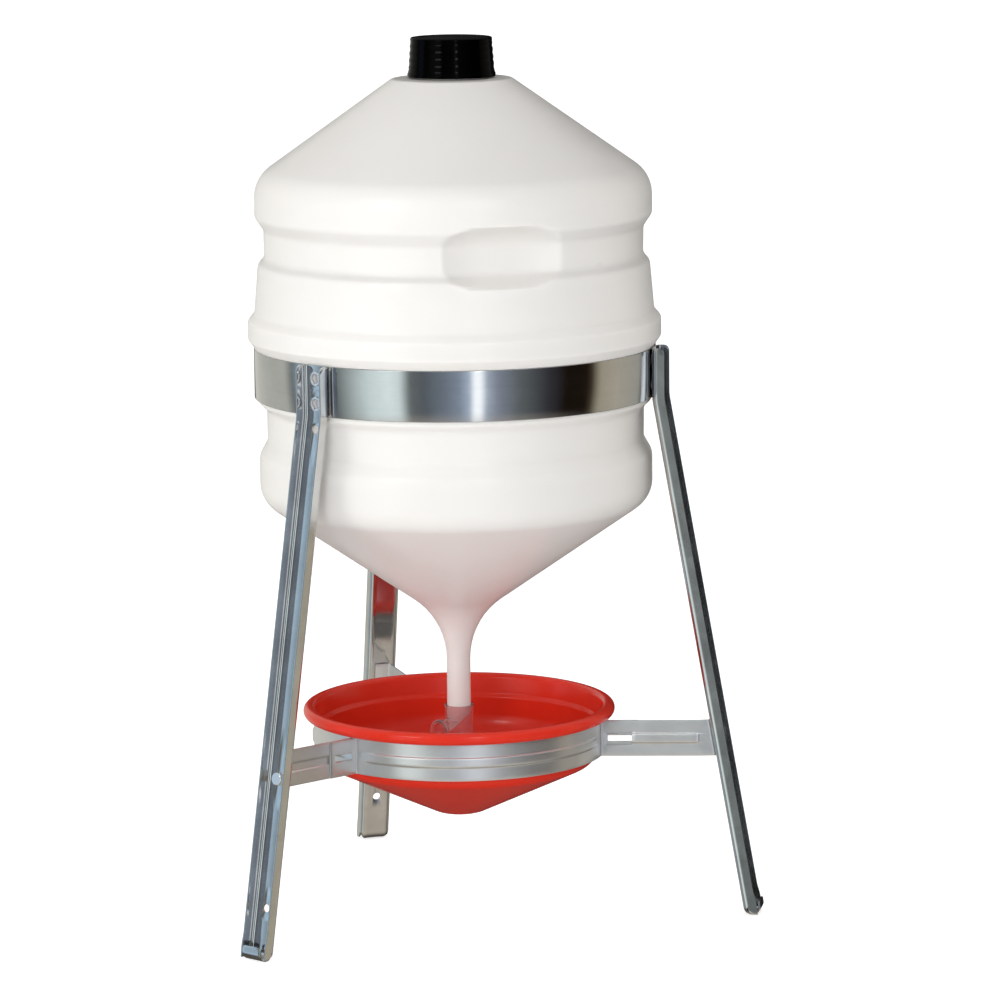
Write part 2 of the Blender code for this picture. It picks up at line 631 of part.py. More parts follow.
def strip_mesh():
    """Folded sheet of one strip as an open surface, starting at a leg at azimuth 0."""
    levels = [-STRIP_HEIGHT / 2, -ARM_SLOT_HALF, -BEAD_BASE, -BEAD_CREST]
    levels += [-level for level in reversed(levels)]
    columns = strip_columns()
    mesh = bpy.data.meshes.new("ring_strip")
    shape = bmesh.new()
    reach = web_point(RING_BOTTOM)[0] - RING_RADIUS
    clinch = Vector((0.0, -CLINCH_DEPTH, 0.0))
    bead_push = Matrix.Rotation(math.radians(120.0), 3, "Z") @ Vector((0.0, -BEAD_DEPTH, 0.0))
    rows = []
    for kind, place in columns:
        distance = place(RING_BOTTOM).length - RING_RADIUS
        rise = ARM_RISE * max(0.0, distance) / reach
        column = []
        for level in levels:
            height = RING_BOTTOM + STRIP_HEIGHT / 2 + level + rise
            point = place(height)
            if abs(level) <= BEAD_CREST and kind == "ring":
                point = point + point.normalized() * BEAD_DEPTH
            if abs(level) <= BEAD_CREST and kind == "arm_bead":
                point = point + bead_push
            point.z = height
            column.append(shape.verts.new(point))
        rows.append((kind, column))
    for (kind, near), (_, far) in zip(rows, rows[1:]):
        for k in range(len(levels) - 1):
            middle = abs(levels[k] + levels[k + 1]) / 2
            if kind == "tab_slot" and middle < BEAD_BASE:
                continue
            if kind == "arm_slot" and middle < ARM_SLOT_HALF:
                continue
            shape.faces.new((near[k], near[k + 1], far[k + 1], far[k]))
        if kind == "tab_slot":
            for k in (2, 5):
                fold_near = shape.verts.new(near[k].co + clinch)
                fold_far = shape.verts.new(far[k].co + clinch)
                corners = (near[k], far[k], fold_far, fold_near)
                shape.faces.new(corners if k == 2 else corners[::-1])
    loose = [vertex for vertex in shape.verts if not vertex.link_faces]
    bmesh.ops.delete(shape, geom=loose, context="VERTS")
    bmesh.ops.recalc_face_normals(shape, faces=shape.faces)
    shape.to_mesh(mesh)
    shape.free()
    return mesh


def make_strip(name, start_leg, axis, material):
    turn = add_empty(name + "_axis", azimuth=math.radians(LEG_AZIMUTHS[start_leg]), parent=axis)
    strip = add_piece(name, strip_mesh(), material, turn)
    add_sheet(strip, STRIP_SHEET)
    place = Matrix.Rotation(math.radians(120.0), 4, "Z") @ across_web(*web_point(BOLT_Z), LEG_SPLAY)
    hole = cylinder_mesh("hole", BOLT_HOLE, 0.012, 16, place)
    boolean(strip, add_cutter(name + "_hole", hole, turn), "DIFFERENCE")


def make_bolt(side, turn, material):
    """Hexagon bolt from outside the web, and its nut on the arm's end tab."""
    normal = across_web(*web_point(BOLT_Z), LEG_SPLAY)
    corner = HEX_FLATS / math.sqrt(3.0)
    seat = LEG_SHEET / 2 + GAP
    head = cylinder_mesh("bolt_head", corner, BOLT_HEAD, 6,
                         normal @ Matrix.Translation((0.0, 0.0, seat + BOLT_HEAD / 2)), True)
    bolt = add_piece("arm_bolt_" + side, head, material, turn)
    shank = cylinder_mesh("shank", BOLT_RADIUS, BOLT_LENGTH + 0.001, 16,
                          normal @ Matrix.Translation((0.0, 0.0, seat - BOLT_LENGTH / 2 + 0.0005)))
    boolean(bolt, add_cutter("bolt_shank_" + side, shank, turn), "UNION")
    far_face = -(LEG_SHEET / 2 + 0.0004 + STRIP_SHEET + GAP)
    nut_mesh = cylinder_mesh("nut", corner, NUT_HEIGHT, 6,
                             normal @ Matrix.Translation((0.0, 0.0, far_face - NUT_HEIGHT / 2)), True)
    nut = add_piece("arm_nut_" + side, nut_mesh, material, turn)
    bore = cylinder_mesh("nut_bore", BOLT_RADIUS + GAP, NUT_HEIGHT + 0.004, 16,
                         normal @ Matrix.Translation((0.0, 0.0, far_face - NUT_HEIGHT / 2)))
    boolean(nut, add_cutter("nut_bore_" + side, bore, turn), "DIFFERENCE")


clear_scene()
PARTS = new_collection("poultry_waterer_fount")
CUTTERS = new_collection("cutters")

natural_plastic = new_material("natural_plastic", (0.82, 0.79, 0.73), 0.40, 0.0)
black_plastic = new_material("black_plastic", (0.012, 0.011, 0.010), 0.15, 0.0)
liner_foam = new_material("liner_foam", (0.75, 0.75, 0.72), 0.80, 0.0)
clear_plastic = new_material("clear_plastic", (0.92, 0.88, 0.88), 0.08, 0.0, 0.35)
red_plastic = new_material("red_plastic", (0.70, 0.035, 0.015), 0.25, 0.0)
band_steel = new_material("band_steel", (0.60, 0.61, 0.62), 0.22, 1.0)
leg_steel = new_material("leg_steel", (0.50, 0.53, 0.55), 0.32, 1.0)
ring_steel = new_material("ring_steel", (0.66, 0.66, 0.65), 0.30, 1.0)
zinc_plate = new_material("zinc_plate", (0.72, 0.74, 0.76), 0.25, 1.0)

stand_axis = add_empty("stand_axis", (0.0, STAND_AXIS_Y, 0.0))
make_band(stand_axis, band_steel)
for leg_side in LEG_AZIMUTHS:
    leg_turn = make_leg(leg_side, stand_axis, leg_steel)
    make_eyelets(leg_side, leg_turn, zinc_plate)
    make_bolt(leg_side, leg_turn, zinc_plate)
make_strip("ring_strip_front", "left", stand_axis, ring_steel)
make_strip("ring_strip_right", "right", stand_axis, ring_steel)
make_strip("ring_strip_left", "back", stand_axis, ring_steel)
make_bowl(stand_axis, red_plastic)
vessel_axis = add_empty("vessel_axis", parent=stand_axis)
make_vessel(vessel_axis, natural_plastic)
make_outlet(vessel_axis, clear_plastic)
make_liner(vessel_axis, liner_foam)
make_cap(vessel_axis, black_plastic)
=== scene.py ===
"""Looks of the gravity poultry waterer fount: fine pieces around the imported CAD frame.

Metres, +Z up. The drum's axis stands at x = 0, y = AXIS_Y. Angles about it are azimuths from +X.
Every piece here repeats the CAD's dimensions and adds the folds, fillets, threads and rims that
the coarse solids leave out.
"""
import math

import bmesh
import bpy
import numpy as np
from mathutils import Matrix, Vector


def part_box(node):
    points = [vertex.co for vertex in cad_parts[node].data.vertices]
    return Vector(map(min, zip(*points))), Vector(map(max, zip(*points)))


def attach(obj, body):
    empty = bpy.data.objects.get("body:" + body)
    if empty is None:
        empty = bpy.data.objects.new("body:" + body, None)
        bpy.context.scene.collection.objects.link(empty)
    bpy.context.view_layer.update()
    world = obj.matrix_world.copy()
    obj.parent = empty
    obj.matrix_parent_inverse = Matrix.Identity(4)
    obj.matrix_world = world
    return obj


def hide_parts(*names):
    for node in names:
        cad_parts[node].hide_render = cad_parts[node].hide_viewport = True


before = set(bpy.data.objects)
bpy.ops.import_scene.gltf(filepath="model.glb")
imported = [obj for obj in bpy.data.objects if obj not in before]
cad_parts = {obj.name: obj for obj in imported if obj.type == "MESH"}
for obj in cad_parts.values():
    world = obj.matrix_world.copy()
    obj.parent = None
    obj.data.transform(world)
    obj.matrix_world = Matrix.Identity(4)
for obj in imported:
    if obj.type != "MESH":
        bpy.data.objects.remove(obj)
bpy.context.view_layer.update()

GAP = 0.0003                        # between pieces that can part
SHEET_GAP = 0.0004                  # between two sheets that are joined
SHARP_ANGLE = 38.0

# Stand, from the band's box
_band_low, _band_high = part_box("support_band")
AXIS_Y = (_band_low.y + _band_high.y) / 2
AXIS = Matrix.Translation((0.0, AXIS_Y, 0.0))
BAND_TOP = _band_high.z
BAND_BOTTOM = _band_low.z
BAND_RADIUS = 0.1700
BAND_SHEET = 0.0012
LEG_AZIMUTHS = {"right": -30.0, "back": 90.0, "left": -150.0}

# Legs
LEG_SHEET = 0.0015
LEG_HALF = 0.01275                  # web's middle plane to a flange's middle plane
LEG_REACH = 0.01045                 # flange's height over the web's middle plane
LEG_BEND = 0.0035
FLANGE_DRAFT = math.tan(math.radians(2.6))
WEB_CROWN = 0.00020
LEG_TOP = BAND_TOP + 0.0004
LEG_CORNER = 0.0045
LEG_SPLAY = math.radians(9.95)
WEB_MIDDLE = BAND_RADIUS + SHEET_GAP + LEG_SHEET / 2
KINK_TOP = 0.4465
KINK_RADIUS = 0.050
KINK_END_X = WEB_MIDDLE + KINK_RADIUS * (1 - math.cos(LEG_SPLAY))
KINK_END_Z = KINK_TOP - KINK_RADIUS * math.sin(LEG_SPLAY)
TOE_BEND = 0.0070
TOE_Z = TOE_BEND + LEG_SHEET / 2
TOE_START_Z = TOE_Z - TOE_BEND * math.sin(LEG_SPLAY)
TOE_START_X = KINK_END_X + (KINK_END_Z - TOE_START_Z) * math.tan(LEG_SPLAY)
TOE_X = TOE_START_X + TOE_BEND * math.cos(LEG_SPLAY)
SOLE_BEND = 0.0080
SOLE_START_Z = SOLE_BEND + LEG_SHEET / 2 - SOLE_BEND * math.sin(LEG_SPLAY)
LIP_X = KINK_END_X + (KINK_END_Z - SOLE_START_Z) * math.tan(LEG_SPLAY) \
    + LEG_REACH * math.cos(LEG_SPLAY) + 0.0030
LIP_BEND = LIP_X - TOE_X
LIP_TOP = 0.0122
LIP_HALF = 0.0105
FLANGE_CLEAR = 0.0010
FLANGE_ROUND = 0.0075
FOOT_LIFT = 0.00002
FLARE = 0.0009
HOLE_RADIUS = 0.0034
BOLT_HOLE_RADIUS = 0.0033
HOLE_HEIGHTS = (0.4320, 0.0410)

# Eyelets
EYELET_OUTER = 0.0048
EYELET_BORE = 0.0040
EYELET_FLANGE = 0.0060
EYELET_HEIGHTS = ((BAND_TOP + BAND_BOTTOM) / 2 + 0.0105, (BAND_TOP + BAND_BOTTOM) / 2 - 0.0105)

# Bowl ring and its arms
STRIP_SHEET = 0.0010
STRIP_HALF = 0.0155
RING_RADIUS = 0.1246
RING_BOTTOM = 0.1335
ARM_RISE = 0.0035
ARM_PLANE = -0.0070
STRIP_BEND = 0.0020
SLOT_START = 0.1293
SLOT_END = 0.1515
TAB_END = 0.1562
SLOT_MARGIN = 0.0007
ARM_BEAD_END = 0.2090
BEAD_DEPTH = 0.0013
BEAD_CREST = 0.0030
BEAD_FOOT = 0.0047
BEAD_RUNOUT = 0.0044
TAB_SLOT_HALF = 0.0039
ARM_SLOT_HALF = 0.0059
CLINCH = 0.0024
CLINCH_BEND = 0.0009
END_TAB = 0.0065

# Bolts
BOLT_Z = 0.1470
BOLT_RADIUS = 0.0029
SHANK_LENGTH = 0.0115
SHANK_PLAIN = 0.0045
THREAD_PITCH = 0.0010
HEX_FLATS = 0.0100
HEAD_HEIGHT = 0.0040
NUT_HEIGHT = 0.0050

# Vessel
REST_Z = BAND_TOP + GAP
BEAD_RADIUS = 0.1748
DRUM_WALL = 0.0025
DECK_Z = 0.7100
NECK_RADIUS = 0.0302
NECK_TOP = 0.7382
NECK_RIDGE = 0.0016
RIDGE_CREST = 0.0009                # half widths of the thread's ridge
RIDGE_FOOT = 0.0015
RIDGE_START = 0.7190
RIDGE_TURNS = 1.75
PITCH = 0.0060
SPOUT_RADIUS = 0.0101
SPOUT_END = 0.1500
SPOUT_RISE = 0.0185
SPOUT_LONG_SIDE = 162.0
GRIP_Z = 0.5750
GRIP_HALF_HEIGHT = 0.0255
GRIP_HALF_ANGLE = math.radians(18.2)
GRIP_FLOOR = 0.1475
GRIP_SQUARENESS = 3.0
SCOOP_EDGE = 0.20                   # share of a grip's depth taken by its firm edge
SCOOP_EDGE_IN = 0.94
SCOOP_EDGE_OUT = 1.06
GRIP_AZIMUTHS = (math.radians(-93.6), math.radians(86.4))
CAP_TOP = 0.7440
CAP_BOTTOM = 0.7113
CAP_CEILING = 0.7406
CAP_INNER = 0.0327
CAP_RIB = 0.00022
CAP_RIDGE = 0.0018

# Outlet
OUTLET_TOP = 0.1735
OUTLET_BOTTOM = 0.1425
OUTLET_BORE = 0.0107
OUTLET_OUTER = 0.0121
PORT_AZIMUTH = -150.0
PORT_Z = 0.1540

# Bowl
RIM_TUBE = 0.0053
RIM_RADIUS = 0.1281
RIM_Z = RING_BOTTOM + 2 * STRIP_HALF + GAP + RIM_TUBE
TIP_Z = 0.0797


# ---------------- shapes

def fillet(corners, closed=False, segments=6):
    """Points along a polyline whose corners (x, y, radius) are rounded."""
    points = []
    count = len(corners)
    for i, (x, y, radius) in enumerate(corners):
        here = np.array((x, y))
        if radius <= 0.0 or (not closed and i in (0, count - 1)):
            points.append((x, y))
            continue
        before = np.array(corners[i - 1][:2]) - here
        after = np.array(corners[(i + 1) % count][:2]) - here
        to_before = before / np.linalg.norm(before)
        to_after = after / np.linalg.norm(after)
        half = math.acos(max(-1.0, min(1.0, float(to_before @ to_after)))) / 2
        reach = min(radius / math.tan(half), 0.49 * np.linalg.norm(before),
                    0.49 * np.linalg.norm(after))
        radius = reach * math.tan(half)
        middle = here + (to_before + to_after) / np.linalg.norm(to_before + to_after) \
            * radius / math.sin(half)
        start = here + to_before * reach - middle
        end = here + to_after * reach - middle
        turn = math.atan2(start[0] * end[1] - start[1] * end[0], float(start @ end))
        for k in range(segments + 1):
            angle = turn * k / segments
            cos, sin = math.cos(angle), math.sin(angle)
            points.append((middle[0] + start[0] * cos - start[1] * sin,
                           middle[1] + start[0] * sin + start[1] * cos))
    return points


def refine(points, longest, low, high):
    """Splits the segments that lie between two heights into pieces of at most a length."""
    result = []
    for (x0, y0), (x1, y1) in zip(points, points[1:]):
        result.append((x0, y0))
        if min(y0, y1) < high and max(y0, y1) > low:
            parts = math.ceil(math.hypot(x1 - x0, y1 - y0) / longest)
            for k in range(1, parts):
                share = k / parts
                result.append((x0 + (x1 - x0) * share, y0 + (y1 - y0) * share))
    return result + [points[-1]]


def circle_angles(steps):
    return [2 * math.pi * i / steps for i in range(steps)]


def revolve(profile, angles, closed, shift=None):
    """Mesh data of a (radius, z) profile turned about Z; shift moves a radius by its place."""
    verts = []
    rings = []
    for radius, z in profile:
        if radius < 1e-7:
            rings.append([len(verts)])
            verts.append((0.0, 0.0, z))
            continue
        rings.append(list(range(len(verts), len(verts) + len(angles))))
        for angle in angles:
            r = radius + (shift(angle, radius, z) if shift else 0.0)
            verts.append((r * math.cos(angle), r * math.sin(angle), z))
    faces = []
    pairs = list(zip(rings, rings[1:]))
    if closed:
        pairs.append((rings[-1], rings[0]))
    count = len(angles)
    for upper, lower in pairs:
        for k in range(count):
            n = (k + 1) % count
            if len(upper) == 1:
                faces.append((upper[0], lower[k], lower[n]))
            elif len(lower) == 1:
                faces.append((upper[k], lower[0], upper[n]))
            else:
                faces.append((upper[k], lower[k], lower[n], upper[n]))
    return verts, faces


def add_object(name, data):
    obj = bpy.data.objects.new(name, data)
    bpy.context.scene.collection.objects.link(obj)
    return obj


def new_object(name, data, matrix=None, angle=SHARP_ANGLE):
    """Object of (verts, faces) without points that no face uses, its faces turned one way."""
    verts, faces = data
    mesh = bpy.data.meshes.new(name)
    mesh.from_pydata(verts, [], faces)
    shape = bmesh.new()
    shape.from_mesh(mesh)
    bmesh.ops.delete(shape, geom=[v for v in shape.verts if not v.link_faces], context="VERTS")
    bmesh.ops.recalc_face_normals(shape, faces=shape.faces)
    shape.to_mesh(mesh)
    shape.free()
    if matrix is not None:
        mesh.transform(matrix)
    soften(mesh, angle)
    return add_object(name, mesh)


def soften(mesh, angle=SHARP_ANGLE):
    mesh.shade_smooth()
    mesh.set_sharp_from_angle(angle=math.radians(angle))


def settle(obj):
    """Applies the object's modifiers."""
    bpy.context.view_layer.update()
    graph = bpy.context.evaluated_depsgraph_get()
    mesh = bpy.data.meshes.new_from_object(obj.evaluated_get(graph))
    old = obj.data
    obj.modifiers.clear()
    obj.data = mesh
    bpy.data.meshes.remove(old)
    soften(mesh)


def combine(obj, others, operation):
    """Boolean of an object with others, which are used up."""
    for other in others:
        modifier = obj.modifiers.new("boolean", "BOOLEAN")
        modifier.operation = operation
        modifier.solver = "EXACT"
        modifier.object = other
    settle(obj)
    for other in others:
        bpy.data.objects.remove(other, do_unlink=True)


def round_edges(obj, width):
    modifier = obj.modifiers.new("edges", "BEVEL")
    modifier.width = width
    modifier.segments = 2
    modifier.limit_method = "ANGLE"
    modifier.angle_limit = math.radians(50.0)
    settle(obj)


def thicken(obj, thickness):
    modifier = obj.modifiers.new("sheet", "SOLIDIFY")
    modifier.thickness = thickness
    modifier.offset = 0.0
    modifier.use_even_offset = True
    settle(obj)


def rod(radius, length, matrix, steps=40):
    """Plain cylinder along its own Z, used only as a cutter."""
    half = length / 2
    profile = [(0.0, half), (radius, half), (radius, -half), (0.0, -half)]
    return new_object("cutter", revolve(profile, circle_angles(steps), False), matrix)


def smoothstep(value):
    value = max(0.0, min(1.0, value))
    return value * value * (3.0 - 2.0 * value)


def finish_piece(obj, material, body, slot, *nodes):
    obj.data.materials.clear()
    obj.data.materials.append(material)
    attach(obj, body)
    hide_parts(*nodes)


def turn_z(degrees):
    return Matrix.Rotation(math.radians(degrees), 4, "Z")


def raised(height):
    return Matrix.Translation((0.0, 0.0, height))


# ---------------- materials

class Nodes:
    """Short hand for building one material's node tree."""

    def __init__(self, name):
        self.material = bpy.data.materials.new(name)
        self.material.use_nodes = True
        self.tree = self.material.node_tree
        self.shader = self.tree.nodes["Principled BSDF"]
        self.coordinates = self.tree.nodes.new("ShaderNodeTexCoord").outputs["Object"]

    def add(self, kind, **values):
        node = self.tree.nodes.new(kind)
        for key, value in values.items():
            setattr(node, key, value)
        return node

    def link(self, source, target):
        self.tree.links.new(source, target)

    def stretched(self, scale):
        node = self.add("ShaderNodeMapping")
        node.inputs["Scale"].default_value = scale if isinstance(scale, tuple) else (scale,) * 3
        self.link(self.coordinates, node.inputs["Vector"])
        return node.outputs["Vector"]

    def noise(self, scale, detail=3.0, roughness=0.5, distortion=0.0):
        """Noise of one scale, or of a scale per axis."""
        node = self.add("ShaderNodeTexNoise")
        node.inputs["Scale"].default_value = 1.0
        node.inputs["Detail"].default_value = detail
        node.inputs["Roughness"].default_value = roughness
        node.inputs["Distortion"].default_value = distortion
        self.link(self.stretched(scale), node.inputs["Vector"])
        return node.outputs["Fac"]

    def ramp(self, factor, stops):
        node = self.add("ShaderNodeValToRGB")
        elements = node.color_ramp.elements
        while len(elements) < len(stops):
            elements.new(0.5)
        for element, (position, colour) in zip(elements, stops):
            element.position = position
            element.color = (*colour, 1.0)
        self.link(factor, node.inputs["Fac"])
        return node.outputs["Color"]

    def spread(self, factor, low, high, from_low=0.2, from_high=0.8):
        """Maps a noise's middle range to a low and a high value."""
        node = self.add("ShaderNodeMapRange")
        node.inputs["From Min"].default_value = from_low
        node.inputs["From Max"].default_value = from_high
        node.inputs["To Min"].default_value = low
        node.inputs["To Max"].default_value = high
        self.link(factor, node.inputs["Value"])
        return node.outputs["Result"]

    def blend(self, factor, first, second):
        node = self.add("ShaderNodeMix", data_type="RGBA")
        self.link(factor, node.inputs["Factor"])
        for value, socket in ((first, node.inputs["A"]), (second, node.inputs["B"])):
            if isinstance(value, tuple):
                socket.default_value = (*value, 1.0)
            else:
                self.link(value, socket)
        return node.outputs["Result"]

    def maths(self, operation, first, second=0.0):
        node = self.add("ShaderNodeMath", operation=operation)
        for value, socket in ((first, node.inputs[0]), (second, node.inputs[1])):
            if isinstance(value, (int, float)):
                socket.default_value = value
            else:
                self.link(value, socket)
        return node.outputs["Value"]

    def bump(self, height, distance):
        node = self.add("ShaderNodeBump")
        node.inputs["Distance"].default_value = distance
        node.inputs["Strength"].default_value = 1.0
        self.link(height, node.inputs["Height"])
        self.link(node.outputs["Normal"], self.shader.inputs["Normal"])

    def set(self, **values):
        names = {"colour": "Base Color", "metallic": "Metallic", "roughness": "Roughness",
                 "ior": "IOR", "subsurface": "Subsurface Weight", "radius": "Subsurface Radius",
                 "scale": "Subsurface Scale", "transmission": "Transmission Weight",
                 "specular": "Specular IOR Level"}
        for key, value in values.items():
            socket = self.shader.inputs[names[key]]
            if hasattr(value, "is_linked"):
                self.link(value, socket)
            elif key == "colour":
                socket.default_value = (*value, 1.0)
            else:
                socket.default_value = value


def natural_plastic():
    """Undyed polyethylene: milky, a little cloudy, with the faint orange peel of blow moulding."""
    m = Nodes("natural_polyethylene")
    cloud = m.noise((9.0, 9.0, 14.0), 2.0, 0.4)
    tint = m.ramp(cloud, [(0.05, (0.830, 0.802, 0.748)), (0.95, (0.890, 0.868, 0.826))])
    m.set(colour=tint, subsurface=0.38, radius=(0.010, 0.010, 0.009), scale=1.0, ior=1.5,
          specular=0.50)
    m.set(roughness=m.spread(m.noise((30.0, 30.0, 60.0), 2.0), 0.25, 0.37, 0.05, 0.95))
    m.bump(m.noise(420.0, 2.0), 0.000012)
    return m.material


def black_plastic():
    m = Nodes("black_gloss_plastic")
    dust = m.noise(700.0, 2.0)
    tint = m.ramp(dust, [(0.55, (0.0003, 0.0002, 0.0002)), (0.80, (0.0012, 0.0010, 0.0008))])
    m.set(colour=tint, ior=1.5, specular=0.035)
    m.set(roughness=m.spread(m.noise((160.0, 160.0, 40.0), 4.0), 0.06, 0.12))
    m.bump(m.noise(300.0, 3.0), 0.00002)
    return m.material


def foam():
    m = Nodes("seal_foam")
    cells = m.noise(900.0, 4.0, 0.7)
    tint = m.ramp(cells, [(0.3, (0.62, 0.61, 0.57)), (0.7, (0.80, 0.79, 0.75))])
    m.set(colour=tint, roughness=0.85)
    m.bump(cells, 0.00020)
    return m.material


def red_plastic():
    """Dyed plastic with a moulded gloss, a little deeper in its clouds."""
    m = Nodes("red_gloss_plastic")
    cloud = m.noise(14.0, 4.0, 0.5)
    tint = m.ramp(cloud, [(0.30, (0.640, 0.024, 0.010)), (0.70, (0.720, 0.031, 0.013))])
    m.set(colour=tint, ior=1.5, specular=0.32, subsurface=0.08, radius=(0.004, 0.001, 0.0006),
          scale=1.0)
    m.set(roughness=m.spread(m.noise(120.0, 3.0), 0.17, 0.24))
    m.bump(m.noise(60.0, 2.0), 0.00003)
    return m.material


def clear_plastic():
    m = Nodes("clear_plastic")
    haze = m.noise(200.0, 3.0)
    # painted light: the pink of this tint is painted red glow from the bowl round the clear outlet,
    # seen through and onto it; the haze noise only varies it at random
    tint = m.ramp(haze, [(0.3, (0.96, 0.66, 0.66)), (0.7, (1.0, 0.74, 0.73))])
    m.set(colour=tint, ior=1.46, transmission=0.88)
    m.set(roughness=m.spread(haze, 0.05, 0.12))
    m.bump(haze, 0.00002)
    return m.material


def sheet_steel(name, bright, dull, grain, roughness, metallic, blotch, scratch=0.00001):
    """Zinc-coated or polished sheet: rolled grain, cloudy patches, and dull smears."""
    m = Nodes(name)
    patches = m.noise(34.0, 5.0, 0.6, 0.4)
    fine = m.noise(grain, 3.0, 0.6)
    tint = m.ramp(patches, [(0.30, dull), (0.72, bright)])
    smear = m.noise(tuple(v * 0.35 for v in grain), 4.0, 0.65)
    tint = m.blend(m.spread(smear, 0.0, blotch, 0.50, 0.80), tint, tuple(v * 0.80 for v in dull))
    low, high = roughness
    rough = m.maths("ADD", m.spread(fine, low, high), m.spread(patches, -0.03, 0.05))
    m.set(colour=tint, metallic=metallic, roughness=rough)
    m.bump(fine, scratch)
    return m.material


# ---------------- vessel

def scoop(place):
    """Depth of a grip from its middle (1) to its edge (0); round inside with a firm edge."""
    if place >= SCOOP_EDGE_OUT:
        return 0.0
    if place > SCOOP_EDGE_IN:
        return SCOOP_EDGE * ((SCOOP_EDGE_OUT - place) / (SCOOP_EDGE_OUT - SCOOP_EDGE_IN)) ** 2
    return SCOOP_EDGE + (1.0 - SCOOP_EDGE) * (1.0 - (place / SCOOP_EDGE_IN) ** 2.6)


def grip_shift(angle, radius, z, floor):
    """How far a finger grip moves a wall point towards the axis; a superellipse with firm sides."""
    if radius < 0.150 or abs(z - GRIP_Z) > 0.05:
        return 0.0
    for azimuth in GRIP_AZIMUTHS:
        across = (angle - azimuth + math.pi) % (2 * math.pi) - math.pi
        if abs(across) > 1.6 * GRIP_HALF_ANGLE:
            continue
        u = abs(across) / GRIP_HALF_ANGLE
        v = abs(z - GRIP_Z) / GRIP_HALF_HEIGHT
        place = (u ** GRIP_SQUARENESS + v ** GRIP_SQUARENESS) ** (1 / GRIP_SQUARENESS)
        return (floor - radius) * scoop(place)
    return 0.0


def ridge_share(angle, z, start):
    """0 to 1 over a right-hand thread that starts at azimuth 0 and ends after its turns."""
    best = 0.0
    for turn in range(3):
        total = angle + 2 * math.pi * turn
        if total > 2 * math.pi * RIDGE_TURNS:
            continue
        distance = abs(z - start - PITCH * total / (2 * math.pi))
        height = smoothstep((RIDGE_FOOT - distance) / (RIDGE_FOOT - RIDGE_CREST))
        ends = min(total, 2 * math.pi * RIDGE_TURNS - total) / math.radians(14.0)
        best = max(best, height * min(1.0, ends))
    return best


def make_tank(material):
    outside = fillet([
        (NECK_RADIUS - 0.0012, NECK_TOP, 0.0), (NECK_RADIUS, NECK_TOP, 0.0008),
        (NECK_RADIUS, DECK_Z, 0.0018), (0.0505, DECK_Z - 0.0003, 0.0075), (0.1674, 0.6272, 0.0330),
        (0.1677, 0.5957, 0.0085), (0.1603, 0.5848, 0.0085), (0.1599, 0.5610, 0.0080),
        (0.1655, 0.5548, 0.0080), (0.1690, 0.5140, 0.0070), (BEAD_RADIUS, 0.5072, 0.0050),
        (BEAD_RADIUS, 0.4925, 0.0040), (0.1699, REST_Z + 0.0008, 0.0009), (0.1696, REST_Z, 0.0),
        (0.1665, REST_Z, 0.0008), (0.1665, 0.4385, 0.0040), (0.1599, 0.4325, 0.0080),
        (0.1596, 0.4050, 0.0090), (0.1667, 0.3925, 0.0160), (0.1667, 0.3554, 0.0257),
        (0.0101, 0.2473, 0.0650), (SPOUT_RADIUS, SPOUT_END, 0.0)], segments=9)
    inside = fillet([
        (SPOUT_RADIUS - 0.0020, SPOUT_END, 0.0), (0.0081, 0.2488, 0.0640), (0.1642, 0.3568, 0.0235),
        (0.1642, 0.3915, 0.0100), (0.1571, 0.4040, 0.0040), (0.1573, 0.4340, 0.0040),
        (0.1640, 0.4400, 0.0040), (0.1640, 0.4865, 0.0020), (0.1723, 0.4938, 0.0030),
        (0.1723, 0.5058, 0.0025), (0.1665, 0.5122, 0.0030), (0.1631, 0.5562, 0.0030),
        (0.1573, 0.5622, 0.0030), (0.1578, 0.5838, 0.0030), (0.1652, 0.5950, 0.0030),
        (0.1652, 0.6270, 0.0305), (0.0512, 0.7073, 0.0060), (0.0277, 0.7075, 0.0010),
        (0.0277, NECK_TOP, 0.0007), (NECK_RADIUS - 0.0012, NECK_TOP, 0.0)], segments=6)
    outer = refine(refine(outside, 0.0028, 0.543, 0.607), 0.0005, 0.7165, 0.7365)
    inner = refine(inside, 0.0040, 0.543, 0.607)[:-1]
    angles = []
    degrees = 0.0
    while degrees < 359.99:
        angles.append(math.radians(degrees))
        near = any(abs((degrees - math.degrees(a) + 180.0) % 360.0 - 180.0) < 23.9
                   for a in GRIP_AZIMUTHS)
        degrees += 0.75 if near else 2.5
    plain, faces = revolve(outer + inner, angles, True)
    outer_count = len(outer) * len(angles)
    verts = []
    for index, (x, y, z) in enumerate(plain):
        angle = math.atan2(y, x)
        radius = math.hypot(x, y)
        if index >= outer_count:
            radius += grip_shift(angle, radius, z, GRIP_FLOOR - DRUM_WALL)
        elif z < 0.7155:
            radius += grip_shift(angle, radius, z, GRIP_FLOOR)
        elif radius > NECK_RADIUS - 0.0002:
            radius += NECK_RIDGE * ridge_share(angle % (2 * math.pi), z, RIDGE_START)
        verts.append((radius * math.cos(angle), radius * math.sin(angle), z))
    tank = new_object("drum", (verts, faces), AXIS, 30.0)
    slope = math.atan2(SPOUT_RISE, 2 * SPOUT_RADIUS)
    middle = Matrix.Translation((0.0, AXIS_Y, SPOUT_END + SPOUT_RISE / 2))
    cutter = rod(0.03, 0.04, middle @ turn_z(SPOUT_LONG_SIDE) @ Matrix.Rotation(slope, 4, "Y")
                 @ raised(-0.02), 8)
    combine(tank, [cutter], "DIFFERENCE")
    soften(tank.data, 32.0)
    finish_piece(tank, material, "vessel", "natural_plastic", "tank")


